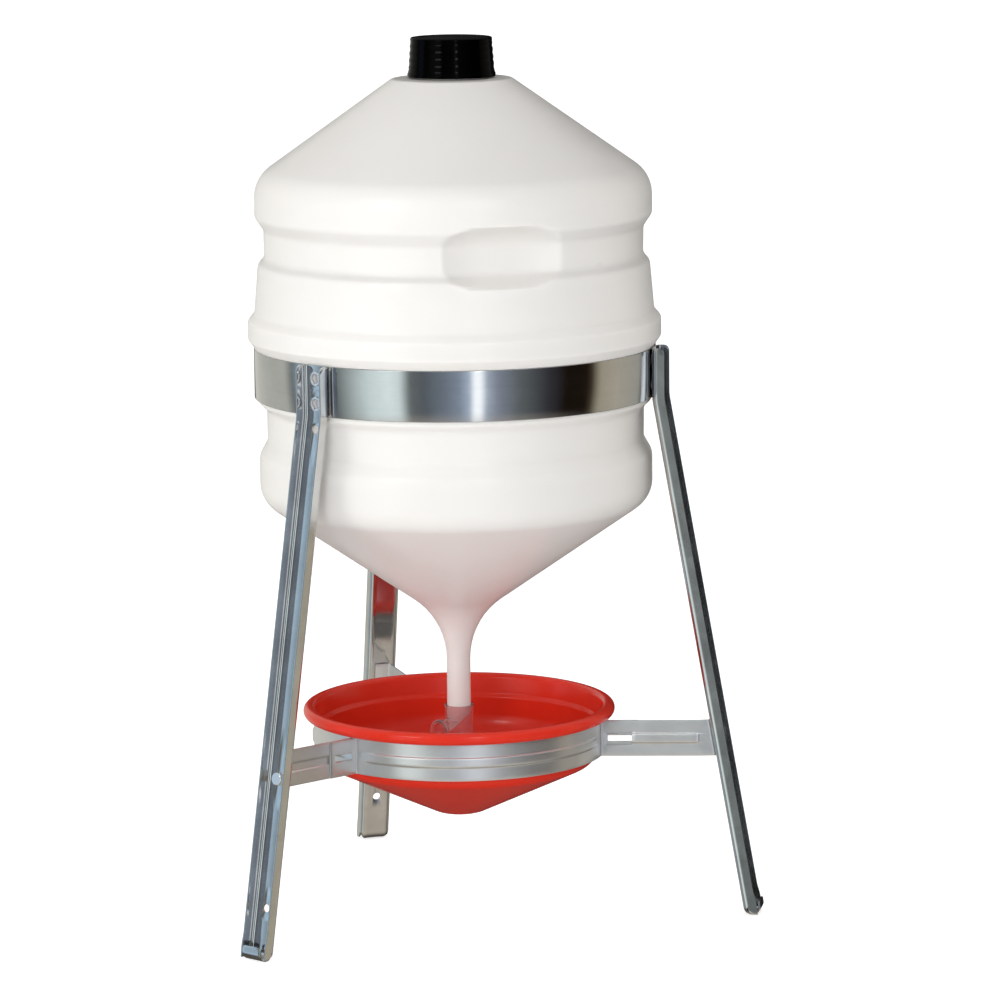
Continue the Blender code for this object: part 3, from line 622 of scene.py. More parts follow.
def make_cap(material, liner_material):
    outside = fillet([
        (0.0, CAP_TOP - 0.0004, 0.0), (0.0262, CAP_TOP - 0.0004, 0.0006),
        (0.0270, CAP_TOP, 0.0005), (0.0343, CAP_TOP - 0.0001, 0.0013), (0.0363, 0.7155, 0.0020),
        (0.0371, 0.7136, 0.0008), (0.0371, CAP_BOTTOM, 0.0004)], segments=5)
    inside = fillet([
        (0.0371, CAP_BOTTOM, 0.0), (CAP_INNER + 0.0004, CAP_BOTTOM, 0.0004),
        (CAP_INNER, CAP_BOTTOM + 0.0010, 0.0004),
        (CAP_INNER, CAP_CEILING, 0.0008), (0.0, CAP_CEILING, 0.0)], segments=4)
    profile = refine(outside, 0.0005, 0.7160, 0.7420) + refine(inside, 0.0005, 0.7135, 0.7340)
    start = RIDGE_START - PITCH / 2

    def shift(angle, radius, z):
        if radius > 0.0343 and 0.7165 < z < 0.7415:
            wave = math.cos(2 * math.pi * ((z - start) / PITCH - angle / (2 * math.pi)))
            fade = smoothstep((z - 0.7160) / 0.004) * smoothstep((0.7420 - z) / 0.004)
            return CAP_RIB * (wave * fade - 1.0)
        if abs(radius - CAP_INNER) < 0.00005:
            return -CAP_RIDGE * ridge_share(angle, z, start)
        return 0.0

    cap = new_object("lid", revolve(profile, circle_angles(128), False, shift), AXIS, 32.0)
    finish_piece(cap, material, "cap", "black_plastic", "screw_cap")
    top = CAP_CEILING - GAP
    disc = fillet([(0.0, top, 0.0), (0.0303, top, 0.0004), (0.0303, top - 0.0018, 0.0005),
                   (0.0285, top - 0.0018, 0.0002), (0.0282, top - 0.0014, 0.0002),
                   (0.0250, top - 0.0014, 0.0002), (0.0247, top - 0.0018, 0.0002),
                   (0.0, top - 0.0018, 0.0)], segments=3)
    liner = new_object("seal_disc", revolve(disc, circle_angles(96), False), AXIS, 32.0)
    finish_piece(liner, liner_material, "liner", "liner_foam", "cap_liner")


def make_outlet(material):
    profile = fillet([
        (0.0, OUTLET_TOP - 0.0005, 0.0), (0.0116, OUTLET_TOP - 0.0005, 0.0),
        (0.0119, OUTLET_TOP, 0.0003), (0.0128, OUTLET_TOP, 0.0008),
        (0.0128, OUTLET_TOP - 0.0020, 0.0008), (OUTLET_OUTER, OUTLET_TOP - 0.0024, 0.0006),
        (OUTLET_OUTER, OUTLET_BOTTOM, 0.0016), (0.0, OUTLET_BOTTOM, 0.0)], segments=5)
    outlet = new_object("outlet_collar", revolve(profile, circle_angles(96), False), AXIS)
    outwards = AXIS @ raised(PORT_Z) @ turn_z(PORT_AZIMUTH) @ Matrix.Rotation(math.pi / 2, 4, "Y")
    tube = fillet([
        (0.0, 0.0267, 0.0), (0.0099, 0.0267, 0.0008), (0.0099, 0.0245, 0.0008),
        (0.0089, 0.0240, 0.0006), (0.0089, 0.0070, 0.0), (0.0, 0.0070, 0.0)], segments=5)
    port = new_object("cutter", revolve(tube, circle_angles(72), False), outwards)
    combine(outlet, [port], "UNION")
    room = OUTLET_TOP - OUTLET_BOTTOM
    bore = rod(OUTLET_BORE, room, AXIS @ raised(OUTLET_BOTTOM + 0.0014 + room / 2), 96)
    port_bore = rod(0.0076, 0.026, outwards @ raised(0.0180), 72)
    combine(outlet, [bore, port_bore], "DIFFERENCE")
    round_edges(outlet, 0.0002)
    finish_piece(outlet, material, "outlet", "clear_plastic", "outlet_valve")


def make_bowl(material):
    inside = fillet([
        (0.0, TIP_Z + 0.0021, 0.0), (0.0170, TIP_Z + 0.0021, 0.0300), (0.1166, 0.1281, 0.0240),
        (0.1186, 0.1552, 0.0030), (0.1208, 0.1585, 0.0030), (0.1217, 0.1668, 0.0)], segments=10)
    rim = []
    for k in range(33):
        angle = math.radians(168.0 - 336.0 * k / 32)
        rim.append((RIM_RADIUS + RIM_TUBE * math.cos(angle), RIM_Z + RIM_TUBE * math.sin(angle)))
    outside = fillet([
        (0.1222, 0.1625, 0.0), (0.1208, 0.1555, 0.0040), (0.1186, 0.1269, 0.0150),
        (0.0178, 0.0797, 0.0300), (0.0, TIP_Z, 0.0)], segments=10)
    profile = inside[:-1] + rim + outside
    bowl = new_object("drinking_bowl_shell", revolve(profile, circle_angles(240), False), AXIS,
                      30.0)
    finish_piece(bowl, material, "drinking_bowl", "red_plastic", "bowl")


# ---------------- stand

def across_web(x, height, lean):
    return Matrix.Translation((x, 0.0, height)) @ Matrix.Rotation(math.pi / 2 - lean, 4, "Y")


def web_x(height):
    return KINK_END_X + (KINK_END_Z - height) * math.tan(LEG_SPLAY)


def make_band(material):
    inner = BAND_RADIUS - BAND_SHEET
    profile = fillet([
        (BAND_RADIUS, BAND_TOP, 0.0004), (BAND_RADIUS, BAND_BOTTOM, 0.0004),
        (inner, BAND_BOTTOM, 0.0004), (inner, BAND_TOP, 0.0004)], closed=True, segments=3)
    band = new_object("band", revolve(profile, circle_angles(288), True), AXIS)
    cutters = []
    for azimuth in LEG_AZIMUTHS.values():
        for height in EYELET_HEIGHTS:
            place = AXIS @ turn_z(azimuth) @ across_web(BAND_RADIUS, height, 0.0)
            cutters.append(rod(EYELET_OUTER + 0.0003, 0.01, place))
    combine(band, cutters, "DIFFERENCE")
    finish_piece(band, material, "stand", "band_steel", "support_band")


def leg_side():
    """Half of a leg's section from the flange's edge to the web's middle: (across, outwards)."""
    side = []
    for k in range(7):
        side.append((LEG_HALF, LEG_REACH - LEG_CORNER * (1 - math.cos(math.pi / 2 * k / 6))))
    side.append((LEG_HALF, (LEG_REACH - LEG_CORNER + LEG_BEND) / 2))
    for k in range(7):
        angle = math.pi / 2 * k / 6
        side.append((LEG_HALF - LEG_BEND * (1 - math.cos(angle)), LEG_BEND * (1 - math.sin(angle))))
    for share in (0.75, 0.5, 0.25):
        side.append(((LEG_HALF - LEG_BEND) * share, WEB_CROWN * (1 - share ** 2)))
    return [(across + max(0.0, out - LEG_BEND) * FLANGE_DRAFT, out) for across, out in side]


def leg_surface():
    """Folded sheet of one leg as verts and faces, at azimuth 0 about the stand's axis."""
    side = leg_side()
    flange_count = 9                # columns of a flange, down to the bend's start
    columns = [(-y, out) for y, out in side] + [(0.0, WEB_CROWN)]
    columns += [(y, out) for y, out in reversed(side)]
    total = len(columns)
    strip_first = 14                # first and last column of the flat web
    strip_last = total - 1 - strip_first
    stations = [(WEB_MIDDLE, LEG_TOP, 0.0), (WEB_MIDDLE, LEG_TOP - 0.0055, 0.0),
                (WEB_MIDDLE, LEG_TOP - 0.0200, 0.0)]
    for k in range(7):
        lean = LEG_SPLAY * k / 6
        stations.append((WEB_MIDDLE + KINK_RADIUS * (1 - math.cos(lean)),
                         KINK_TOP - KINK_RADIUS * math.sin(lean), lean))
    for height in (0.40, 0.33, 0.26, 0.19, 0.12, 0.06, 0.030, 0.024, 0.020, 0.017, 0.014, 0.011,
                   TOE_START_Z + 0.0010, TOE_START_Z):
        stations.append((web_x(height), height, LEG_SPLAY))
    verts = []
    faces = []

    def flare(height, out):
        return FLARE * smoothstep((0.021 - height) / 0.011) * (out / LEG_REACH) ** 2

    rows = []
    for index, (x, z, lean) in enumerate(stations):
        row = []
        for y, out in columns:
            drop = 0.0
            if index == 0 and out > LEG_REACH - LEG_CORNER:
                inset = out - (LEG_REACH - LEG_CORNER)
                drop = LEG_CORNER - math.sqrt(max(0.0, LEG_CORNER ** 2 - inset ** 2))
            reach = out + flare(z, out)
            row.append(len(verts))
            verts.append((x + reach * math.cos(lean), y, z + reach * math.sin(lean) - drop))
        rows.append(row)
    for upper, lower in zip(rows, rows[1:]):
        for k in range(total - 1):
            faces.append((upper[k], upper[k + 1], lower[k + 1], lower[k]))
    last = rows[-1]

    def column_index(k, mirrored):
        return total - 1 - k if mirrored else k

    def face(corners, mirrored):
        faces.append(tuple(corners[::-1]) if mirrored else tuple(corners))

    for mirrored in (False, True):
        # flange below the bend's start, with a rounded lower edge
        previous = [last[column_index(k, mirrored)] for k in range(flange_count)]
        ends = []
        for k in range(flange_count):
            out = columns[column_index(k, mirrored)][1]
            inset = max(0.0, FLANGE_ROUND - out) / (FLANGE_ROUND - LEG_BEND)
            rise = 1 - math.sqrt(max(0.0, 1 - min(1.0, inset) ** 2))
            ends.append(FLANGE_CLEAR + 0.0002 + (TOE_START_Z - FLANGE_CLEAR) * rise)
        for step in (1, 2, 3):
            now = []
            for k in range(flange_count - 1):
                x, y, z = verts[last[column_index(k, mirrored)]]
                low = min(z, ends[k])
                height = z + (low - z) * step / 3
                now.append(len(verts))
                verts.append((x + (z - height) * math.tan(LEG_SPLAY) * 0.6, y, height))
            for k in range(flange_count - 2):
                face((previous[k], previous[k + 1], now[k + 1], now[k]), mirrored)
            face((previous[flange_count - 2], previous[flange_count - 1], now[flange_count - 2]),
                 mirrored)
            previous = now + [last[column_index(flange_count - 1, mirrored)]]

    # the web's strip round the toe and up the lip, with the bends trailing off beside it
    toe_steps = 9
    start = math.pi + LEG_SPLAY
    arc_points = []
    for k in range(1, toe_steps + 1):
        angle = start + (1.5 * math.pi - start) * k / toe_steps
        arc_points.append((TOE_X + TOE_BEND * math.cos(angle),
                           TOE_Z + TOE_BEND * math.sin(angle)))
    above = dict(enumerate(last))
    for step, (x, z) in enumerate(arc_points, 1):
        now = {}
        reach_in = max(0, 5 - (step - 1))
        for k in range(strip_first - reach_in, strip_last + reach_in + 1):
            y, out = columns[k]
            share = out / TOE_BEND
            now[k] = len(verts)
            verts.append((x + (TOE_X - x) * share, y, z + (TOE_Z - z) * share))
        for k in sorted(now):
            if k + 1 in now:
                faces.append((above[k], above[k + 1], now[k + 1], now[k]))
        left, right = min(now), max(now)
        if left - 1 in above and (left < strip_first or step == 6):
            faces.append((above[left - 1], above[left], now[left]))
            faces.append((above[right], above[right + 1], now[right]))
        above = now
    lip_centre_z = LEG_SHEET / 2 + LIP_BEND
    lip = []
    for k in range(1, 9):
        angle = -math.pi / 2 + math.pi / 2 * k / 8
        lip.append((TOE_X + LIP_BEND * math.cos(angle), lip_centre_z + LIP_BEND * math.sin(angle)))
    for height in (0.0085, 0.0104, LIP_TOP):
        lip.append((LIP_X - (height - lip_centre_z) * math.tan(LEG_SPLAY), height))
    narrow = LEG_HALF - LEG_BEND
    row = [above[k] for k in range(strip_first, strip_last + 1)]
    for index, (x, z) in enumerate(lip):
        wide = narrow + (LIP_HALF - narrow) * smoothstep(index / 6)
        now = []
        for k in range(strip_first, strip_last + 1):
            corner = 0.0
            y = columns[k][0] * wide / narrow
            if index == len(lip) - 1 and abs(columns[k][0]) > narrow - 1e-6:
                corner = 0.0010
            now.append(len(verts))
            verts.append((x, y, z - corner))
        for k in range(len(row) - 1):
            faces.append((row[k], row[k + 1], now[k + 1], now[k]))
        row = now
    return verts, faces


def make_leg(side, material):
    leg = new_object("leg_channel_" + side, leg_surface())
    thicken(leg, LEG_SHEET)
    cutters = [rod(EYELET_OUTER + 0.0003, 0.006, across_web(WEB_MIDDLE, height, 0.0))
               for height in EYELET_HEIGHTS]
    for height, radius in ((HOLE_HEIGHTS[0], HOLE_RADIUS), (HOLE_HEIGHTS[1], HOLE_RADIUS),
                           (BOLT_Z, BOLT_HOLE_RADIUS)):
        cutters.append(rod(radius, 0.006, across_web(web_x(height), height, LEG_SPLAY)))
    combine(leg, cutters, "DIFFERENCE")
    round_edges(leg, 0.00028)
    leg.data.transform(raised(FOOT_LIFT) @ AXIS @ turn_z(LEG_AZIMUTHS[side]))
    finish_piece(leg, material, "stand", "leg_steel", "leg_" + side)


def make_eyelets(side, material):
    inner = BAND_RADIUS - BAND_SHEET - 0.0006
    outer = WEB_MIDDLE + LEG_SHEET / 2 + GAP
    top = outer + 0.0009
    bottom = inner - 0.0009
    profile = fillet([
        (EYELET_FLANGE, outer, 0.0001), (EYELET_OUTER, outer, 0.0), (EYELET_OUTER, inner, 0.0),
        (EYELET_FLANGE, inner, 0.0001), (EYELET_FLANGE, bottom, 0.0005),
        (EYELET_BORE, bottom, 0.0005), (EYELET_BORE, top, 0.0006),
        (EYELET_FLANGE, top, 0.0008)], closed=True, segments=5)
    for level, height in zip(("upper", "lower"), EYELET_HEIGHTS):
        place = AXIS @ turn_z(LEG_AZIMUTHS[side]) @ across_web(0.0, height, 0.0)
        name = "eyelet_%s_%s" % (level, side)
        ring = new_object("rivet_" + name, revolve(profile, circle_angles(48), True), place)
        finish_piece(ring, material, "stand", "zinc_plate", name)


def hexagon(height, chamfer_both=False):
    """Closed hexagon head or nut blank from z = 0 up, its corners turned off at 30 degrees."""
    steps = 72
    flat = HEX_FLATS / 2
    face_radius = flat * 0.96
    radii = []
    for k in range(steps):
        angle = 360.0 * k / steps
        from_flat = (angle + 30.0) % 60.0 - 30.0
        radii.append(flat / math.cos(math.radians(from_flat)))
    slope = math.tan(math.radians(28.0))
    rings = [[(face_radius, height)] * steps,
             [(r, height - (r - face_radius) * slope) for r in radii]]
    if chamfer_both:
        rings.append([(r, (r - face_radius) * slope) for r in radii])
        rings.append([(face_radius, 0.0)] * steps)
    else:
        rings.append([(r, 0.0) for r in radii])
    verts = [(0.0, 0.0, height)]
    for ring in rings:
        for k, (r, z) in enumerate(ring):
            angle = 2 * math.pi * k / steps
            verts.append((r * math.cos(angle), r * math.sin(angle), z))
    verts.append((0.0, 0.0, 0.0))
    faces = []
    last = 1 + (len(rings) - 1) * steps
    for k in range(steps):
        n = (k + 1) % steps
        faces.append((0, 1 + k, 1 + n))
        for a in range(1, last, steps):
            b = a + steps
            faces.append((a + k, b + k, b + n, a + n))
        faces.append((last + k, len(verts) - 1, last + n))
    return verts, faces


def make_bolt(side, material):
    normal = AXIS @ turn_z(LEG_AZIMUTHS[side]) @ across_web(web_x(BOLT_Z), BOLT_Z, LEG_SPLAY)
    seat = LEG_SHEET / 2 + GAP
    head = new_object("hex_bolt_" + side, hexagon(HEAD_HEIGHT), normal @ raised(seat))
    rows = int(SHANK_LENGTH / 0.00012)
    profile = [(0.0, 0.0006)]
    profile += [(BOLT_RADIUS, 0.0005 - SHANK_LENGTH * k / rows) for k in range(rows + 1)]
    profile += [(0.0, 0.0005 - SHANK_LENGTH)]

    def thread(angle, radius, z):
        if radius < 0.001 or z > -SHANK_PLAIN:
            return 0.0
        end = smoothstep((z - 0.0005 + SHANK_LENGTH) / 0.0006)
        wave = abs((z / THREAD_PITCH - angle / (2 * math.pi)) % 1.0 - 0.5) * 2.0
        return (-0.00045 * wave - 0.0004) * end - 0.0006 * (1 - end)

    shank = new_object("cutter", revolve(profile, circle_angles(36), False, thread),
                       normal @ raised(seat))
    combine(head, [shank], "UNION")
    soften(head.data, 28.0)
    finish_piece(head, material, "stand", "zinc_plate", "arm_bolt_" + side)
    far = -(LEG_SHEET / 2 + SHEET_GAP + STRIP_SHEET + GAP)
    nut = new_object("hex_nut_" + side, hexagon(NUT_HEIGHT, True),
                     normal @ raised(far - NUT_HEIGHT))
    bore = rod(BOLT_RADIUS + GAP, NUT_HEIGHT * 2, normal @ raised(far - NUT_HEIGHT / 2), 48)
    combine(nut, [bore], "DIFFERENCE")
    soften(nut.data, 28.0)
    finish_piece(nut, material, "stand", "zinc_plate", "arm_nut_" + side)


def strip_plan():
    """Plan of a strip from its joint tab to its end tab: (point at a height, kind, bead, side)."""
    middle = RING_RADIUS - STRIP_SHEET / 2
    tab = ARM_PLANE + STRIP_SHEET + GAP
    plan = []

    def add(x, y, kind, bead, side, turned):
        plan.append((Vector((x, y)), kind, bead, Vector(side), turned))

    for x in (TAB_END, SLOT_END + 0.0015, SLOT_END - SLOT_MARGIN):
        add(x, tab, "slot" if x < SLOT_END else "tab", 0.0, (0.0, 1.0), False)
    add(SLOT_START + SLOT_MARGIN, tab, "tab", 0.0, (0.0, 1.0), False)
    start = math.asin((tab + STRIP_BEND) / middle)
    start_x = middle * math.cos(start)
    for k in range(7):
        angle = math.radians(270.0 - 90.0 * k / 6)
        add(start_x + STRIP_BEND + STRIP_BEND * math.cos(angle),
            tab + STRIP_BEND + STRIP_BEND * math.sin(angle), "bend", 0.0, (1.0, 0.0), False)
    end = math.radians(120.0) + math.asin((ARM_PLANE - STRIP_BEND) / middle)
    steps = 84
    for k in range(1, steps):
        angle = start + (end - start) * k / steps
        bead = smoothstep((k - 1) / 6) * smoothstep((steps - 2 - k) / 6)
        add(middle * math.cos(angle), middle * math.sin(angle), "ring", bead,
            (math.cos(angle), math.sin(angle)), False)
    end_x = middle * math.cos(math.radians(120.0) - end)
    for k in range(7):
        angle = math.radians(180.0 - 90.0 * k / 6)
        add(end_x + STRIP_BEND + STRIP_BEND * math.cos(angle),
            ARM_PLANE - STRIP_BEND + STRIP_BEND * math.sin(angle), "bend", 0.0, (0.0, -1.0), True)
    arm = [(SLOT_START, 0.0), (SLOT_END, 1.0)]
    arm += [(x, 1.0) for x in np.linspace(SLOT_END + 0.004, ARM_BEAD_END - BEAD_RUNOUT, 12)]
    arm += [(ARM_BEAD_END - BEAD_RUNOUT + BEAD_RUNOUT * k / 7,
             math.sqrt(max(0.0, 1 - (k / 7) ** 2))) for k in range(1, 8)]
    for x, bead in arm:
        kind = "arm_slot" if x == SLOT_START else "arm"
        add(float(x), ARM_PLANE, kind, bead, (0.0, -1.0), True)
    return plan


def strip_surface():
    levels = [-STRIP_HALF, -0.0125, -0.0090, -ARM_SLOT_HALF, -BEAD_FOOT, -0.0043, -TAB_SLOT_HALF,
              -0.0035, -BEAD_CREST, -0.0015]
    levels += [0.0] + [-level for level in reversed(levels)]
    turned = Matrix.Rotation(math.radians(120.0), 2)
    reach = web_x(RING_BOTTOM) - RING_RADIUS
    stand_off = (LEG_SHEET / 2 + SHEET_GAP + STRIP_SHEET / 2) / math.cos(LEG_SPLAY)
    verts = []
    faces = []
    rows = []

    def height_of(distance, level):
        rise = ARM_RISE * max(0.0, distance - RING_RADIUS) / reach
        return RING_BOTTOM + STRIP_HALF + level + rise

    for point, kind, bead, side, is_turned in strip_plan():
        row = []
        for level in levels:
            slope = (BEAD_FOOT - abs(level)) / (BEAD_FOOT - BEAD_CREST)
            bump = BEAD_DEPTH * bead * smoothstep(slope)
            place = point + side * bump
            if is_turned:
                place = turned @ place
            row.append(len(verts))
            verts.append((place.x, place.y, height_of(point.length, level)))
        rows.append((kind, row))
    for inset_x, y in fillet([(0.02, ARM_PLANE, 0.0), (0.0, ARM_PLANE, STRIP_BEND),
                              (0.0, END_TAB, 0.0)], segments=6)[1:]:
        row = []
        for level in levels:
            height = height_of(web_x(RING_BOTTOM), level)
            x = web_x(height) - stand_off - inset_x
            place = turned @ Vector((x, y))
            row.append(len(verts))
            verts.append((place.x, place.y, height))
        rows.append(("end", row))
    open_half = {"slot": TAB_SLOT_HALF, "arm_slot": ARM_SLOT_HALF}
    for (kind, near), (_, far) in zip(rows, rows[1:]):
        for k in range(len(levels) - 1):
            if abs(levels[k] + levels[k + 1]) / 2 >= open_half.get(kind, 0.0):
                faces.append((near[k], near[k + 1], far[k + 1], far[k]))
        if kind == "slot":
            for sign in (-1, 1):
                edge = levels.index(sign * TAB_SLOT_HALF)
                previous = (near[edge], far[edge])
                for step in range(1, 5):
                    angle = math.pi / 2 * step / 4
                    inwards = CLINCH_BEND * math.sin(angle)
                    down = CLINCH if step == 4 else CLINCH_BEND * (1 - math.cos(angle))
                    now = []
                    for corner in (near[edge], far[edge]):
                        x, y, z = verts[corner]
                        now.append(len(verts))
                        verts.append((x, y - down, z - sign * inwards))
                    faces.append((previous[0], previous[1], now[1], now[0]))
                    previous = tuple(now)
    return verts, faces


def make_strip(name, start_leg, material):
    strip = new_object(name + "_sheet", strip_surface())
    thicken(strip, STRIP_SHEET)
    place = turn_z(120.0) @ across_web(web_x(BOLT_Z), BOLT_Z, LEG_SPLAY)
    combine(strip, [rod(BOLT_HOLE_RADIUS, 0.012, place)], "DIFFERENCE")
    round_edges(strip, 0.0002)
    strip.data.transform(AXIS @ turn_z(LEG_AZIMUTHS[start_leg]))
    finish_piece(strip, material, "stand", "ring_steel", name)


# ---------------- stage

CAMERA_AZIMUTH = math.radians(-18.33)
CAMERA_PITCH = math.radians(9.464)
CAMERA_ROLL = -0.0120
CAMERA_DISTANCE = 4.072
CAMERA_HEIGHT = 1.0240


def add_camera():
    data = bpy.data.cameras.new("camera")
    data.lens = 174.59
    data.sensor_width = 36.0
    data.shift_x = 0.0433
    data.shift_y = 0.00627
    data.clip_end = 200.0
    camera = add_object("camera", data)
    place = Vector((CAMERA_DISTANCE * math.sin(CAMERA_AZIMUTH),
                    AXIS_Y - CAMERA_DISTANCE * math.cos(CAMERA_AZIMUTH), CAMERA_HEIGHT))
    camera.matrix_world = (Matrix.Translation(place) @ Matrix.Rotation(CAMERA_AZIMUTH, 4, "Z")
                           @ Matrix.Rotation(math.pi / 2 - CAMERA_PITCH, 4, "X")
                           @ Matrix.Rotation(CAMERA_ROLL, 4, "Z"))
    bpy.context.scene.camera = camera


def add_area(name, azimuth, elevation, distance, size, power, colour, gloss=False):
    """Soft light aimed at the drum, seen only in gloss or only by matt surfaces.

    Its azimuth is counted to the right of the camera's side.
    """
    data = bpy.data.lights.new(name, "AREA")
    data.shape = "RECTANGLE"
    data.size, data.size_y = size
    data.energy = power
    data.color = colour
    light = add_object(name, data)
    around = CAMERA_AZIMUTH + math.radians(azimuth)
    up = math.radians(elevation)
    target = Vector((0.0, AXIS_Y, 0.40))
    offset = Vector((math.sin(around) * math.cos(up), -math.cos(around) * math.cos(up),
                     math.sin(up)))
    light.location = target + offset * distance
    light.rotation_euler = (-offset).to_track_quat("-Z", "Y").to_euler()
    light.visible_glossy = gloss
    light.visible_diffuse = not gloss
    light.visible_camera = False


CEILING = (0.62, 0.63, 0.64)
CEILING_START = (math.radians(24.0), math.radians(48.0))
GROUND = (0.62, 0.55, 0.47)
GROUND_SHADE = (0.10, 0.09, 0.08)
GROUND_START = (math.radians(-18.0), math.radians(-32.0))
ROOM = [
    # azimuth to the right of the camera's side, colour of the room there
    (-180.0, (0.03, 0.03, 0.03)), (-171.0, (0.04, 0.04, 0.04)), (-164.0, (0.70, 0.69, 0.63)),
    (-140.0, (0.60, 0.60, 0.55)), (-114.0, (0.58, 0.58, 0.53)), (-106.0, (0.20, 0.22, 0.22)),
    (-97.0, (0.44, 0.62, 0.80)), (-87.0, (0.58, 0.80, 1.02)), (-79.0, (0.13, 0.13, 0.10)),
    (-72.0, (0.17, 0.20, 0.19)), (-50.0, (0.88, 1.00, 1.00)),
    (-38.0, (1.04, 1.16, 1.17)), (-32.0, (0.94, 1.05, 1.05)), (-26.0, (0.18, 0.20, 0.20)),
    (-18.0, (0.14, 0.16, 0.18)), (-6.0, (0.22, 0.26, 0.32)), (2.0, (0.32, 0.38, 0.48)),
    (8.0, (0.56, 0.66, 0.82)), (11.0, (1.55, 1.60, 1.65)), (14.5, (1.50, 1.55, 1.62)),
    (17.5, (0.52, 0.60, 0.72)), (24.0, (0.31, 0.34, 0.42)), (36.0, (0.16, 0.18, 0.19)),
    (54.0, (0.05, 0.05, 0.06)), (66.0, (0.014, 0.009, 0.006)), (80.0, (0.014, 0.009, 0.006)),
    (84.0, (0.060, 0.040, 0.026)), (91.0, (0.46, 0.42, 0.32)), (106.0, (0.55, 0.50, 0.41)),
    (130.0, (0.42, 0.41, 0.37)), (137.0, (0.04, 0.055, 0.06)), (155.0, (0.02, 0.02, 0.02)),
]


class WorldNodes(Nodes):
    """The same short hand on a world's tree."""

    def __init__(self, world):
        world.use_nodes = True
        self.tree = world.node_tree
        self.tree.nodes.clear()
        self.coordinates = self.add("ShaderNodeTexCoord").outputs["Generated"]

    def background(self, colour, strength=1.0):
        node = self.add("ShaderNodeBackground")
        node.inputs["Strength"].default_value = strength
        if isinstance(colour, tuple):
            node.inputs["Color"].default_value = (*colour, 1.0)
        else:
            self.link(colour, node.inputs["Color"])
        return node.outputs["Background"]

    def choose(self, switch, first, second):
        node = self.add("ShaderNodeMixShader")
        for source, socket in zip((switch, first, second), node.inputs):
            self.link(source, socket)
        return node.outputs["Shader"]


def add_world():
    """Pale to the camera and to diffuse light; gloss sees a plain room of soft vertical bands."""
    world = bpy.data.worlds.new("studio")
    bpy.context.scene.world = world
    m = WorldNodes(world)
    world.cycles.sampling_method = "NONE"
    split = m.add("ShaderNodeSeparateXYZ")
    m.link(m.coordinates, split.inputs["Vector"])
    x, y, z = split.outputs["X"], split.outputs["Y"], split.outputs["Z"]
    # azimuth from the side the camera stands on, positive to its right
    around = m.maths("ARCTAN2", x, m.maths("MULTIPLY", y, -1.0))
    around = m.maths("SUBTRACT", around, CAMERA_AZIMUTH)
    turns = m.maths("FRACT", m.maths("ADD", m.maths("DIVIDE", around, 2 * math.pi), 0.5))
    bands = m.ramp(turns, [((azimuth + 180.0) / 360.0, colour) for azimuth, colour in ROOM])
    height = m.maths("ARCSINE", z)
    room = m.blend(m.spread(height, 0.0, 1.0, *CEILING_START), bands, CEILING)
    # the ground is pale in front of the waterer and in its own shade behind and below
    towards = m.maths("ADD", m.maths("MULTIPLY", x, math.sin(CAMERA_AZIMUTH)),
                      m.maths("MULTIPLY", y, -math.cos(CAMERA_AZIMUTH)))
    ground = m.blend(m.spread(towards, 0.0, 1.0, -0.1, 0.7), GROUND_SHADE, GROUND)
    room = m.blend(m.spread(height, 0.0, 1.0, *GROUND_START), room, ground)
    rays = m.add("ShaderNodeLightPath").outputs
    matt = m.background((1.0, 0.985, 0.965), 0.76)
    lit = m.choose(rays["Is Glossy Ray"], matt, m.background(room))
    shown = m.choose(rays["Is Camera Ray"], lit, m.background((1.0, 1.0, 1.0)))
    m.link(shown, m.add("ShaderNodeOutputWorld").inputs["Surface"])


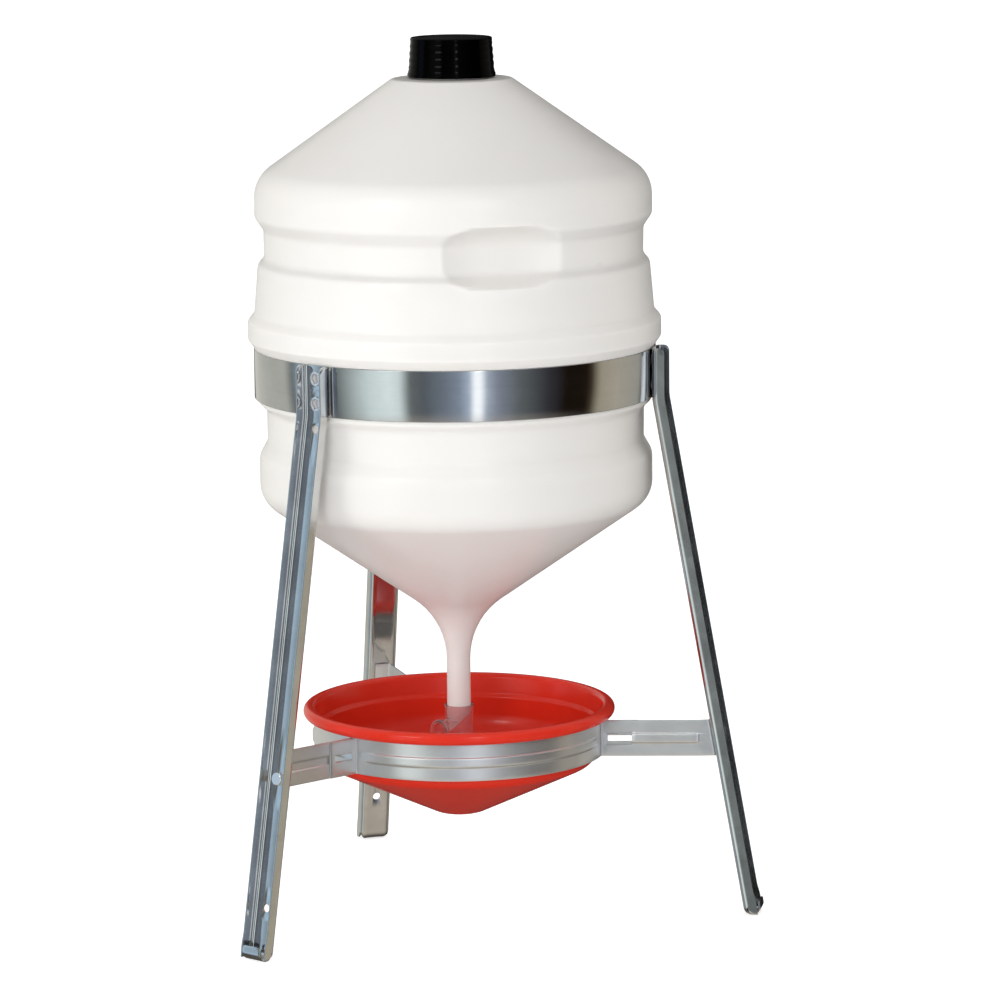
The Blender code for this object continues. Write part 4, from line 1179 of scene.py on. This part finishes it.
def add_floor():
    m = Nodes("pale_floor")
    grain = m.noise(3.0, 3.0)
    m.set(colour=m.ramp(grain, [(0.3, (0.90, 0.90, 0.90)), (0.7, (0.92, 0.92, 0.92))]))
    m.set(roughness=0.9, specular=0.1)
    seen = m.add("ShaderNodeLightPath").outputs["Is Camera Ray"]
    m.shader.inputs["Emission Color"].default_value = (0.97, 0.98, 1.0, 1.0)
    m.link(m.maths("MULTIPLY", seen, 0.57), m.shader.inputs["Emission Strength"])
    size = 60.0
    verts = [(-size, -size, 0.0), (size, -size, 0.0), (size, size, 0.0), (-size, size, 0.0)]
    floor = new_object("floor", (verts, [(0, 1, 2, 3)]))
    floor.data.materials.append(m.material)
    floor.visible_glossy = False


# ---------------- build

add_camera()
band_steel = sheet_steel("polished_steel", (0.63, 0.64, 0.64), (0.57, 0.58, 0.58),
                         (24.0, 24.0, 900.0), (0.05, 0.10), 1.0, 0.15)
leg_steel = sheet_steel("galvanised_steel", (0.68, 0.68, 0.67), (0.54, 0.54, 0.53),
                        (80.0, 80.0, 40.0), (0.07, 0.11), 0.98, 0.12, 0.000002)
ring_steel = sheet_steel("zinc_sheet", (0.84, 0.84, 0.83), (0.76, 0.76, 0.75),
                         (24.0, 24.0, 400.0), (0.32, 0.38), 0.88, 0.10)
zinc_plate = sheet_steel("zinc_plated_steel", (0.84, 0.86, 0.88), (0.76, 0.78, 0.80),
                         (120.0, 120.0, 120.0), (0.12, 0.20), 0.85, 0.10)

make_tank(natural_plastic())
make_cap(black_plastic(), foam())
make_outlet(clear_plastic())
make_bowl(red_plastic())
make_band(band_steel)
for leg_name in LEG_AZIMUTHS:
    make_leg(leg_name, leg_steel)
    make_eyelets(leg_name, zinc_plate)
    make_bolt(leg_name, zinc_plate)
make_strip("ring_strip_front", "left", ring_steel)
make_strip("ring_strip_right", "right", ring_steel)
make_strip("ring_strip_left", "back", ring_steel)

add_world()
add_area("key", -14.0, 8.0, 3.6, (1.2, 1.6), 48.0, (0.96, 1.0, 1.05))
add_area("fill", -62.0, 6.0, 3.4, (1.4, 1.8), 20.0, (1.0, 0.985, 0.95))
add_area("high_window", -39.0, 30.0, 3.6, (0.9, 0.5), 11.0, (1.0, 1.0, 1.0), True)
add_area("high_tube", 14.0, 30.0, 3.6, (0.3, 0.7), 7.0, (1.0, 1.0, 1.0), True)
add_floor()
bpy.context.scene.view_settings.view_transform = "Standard"
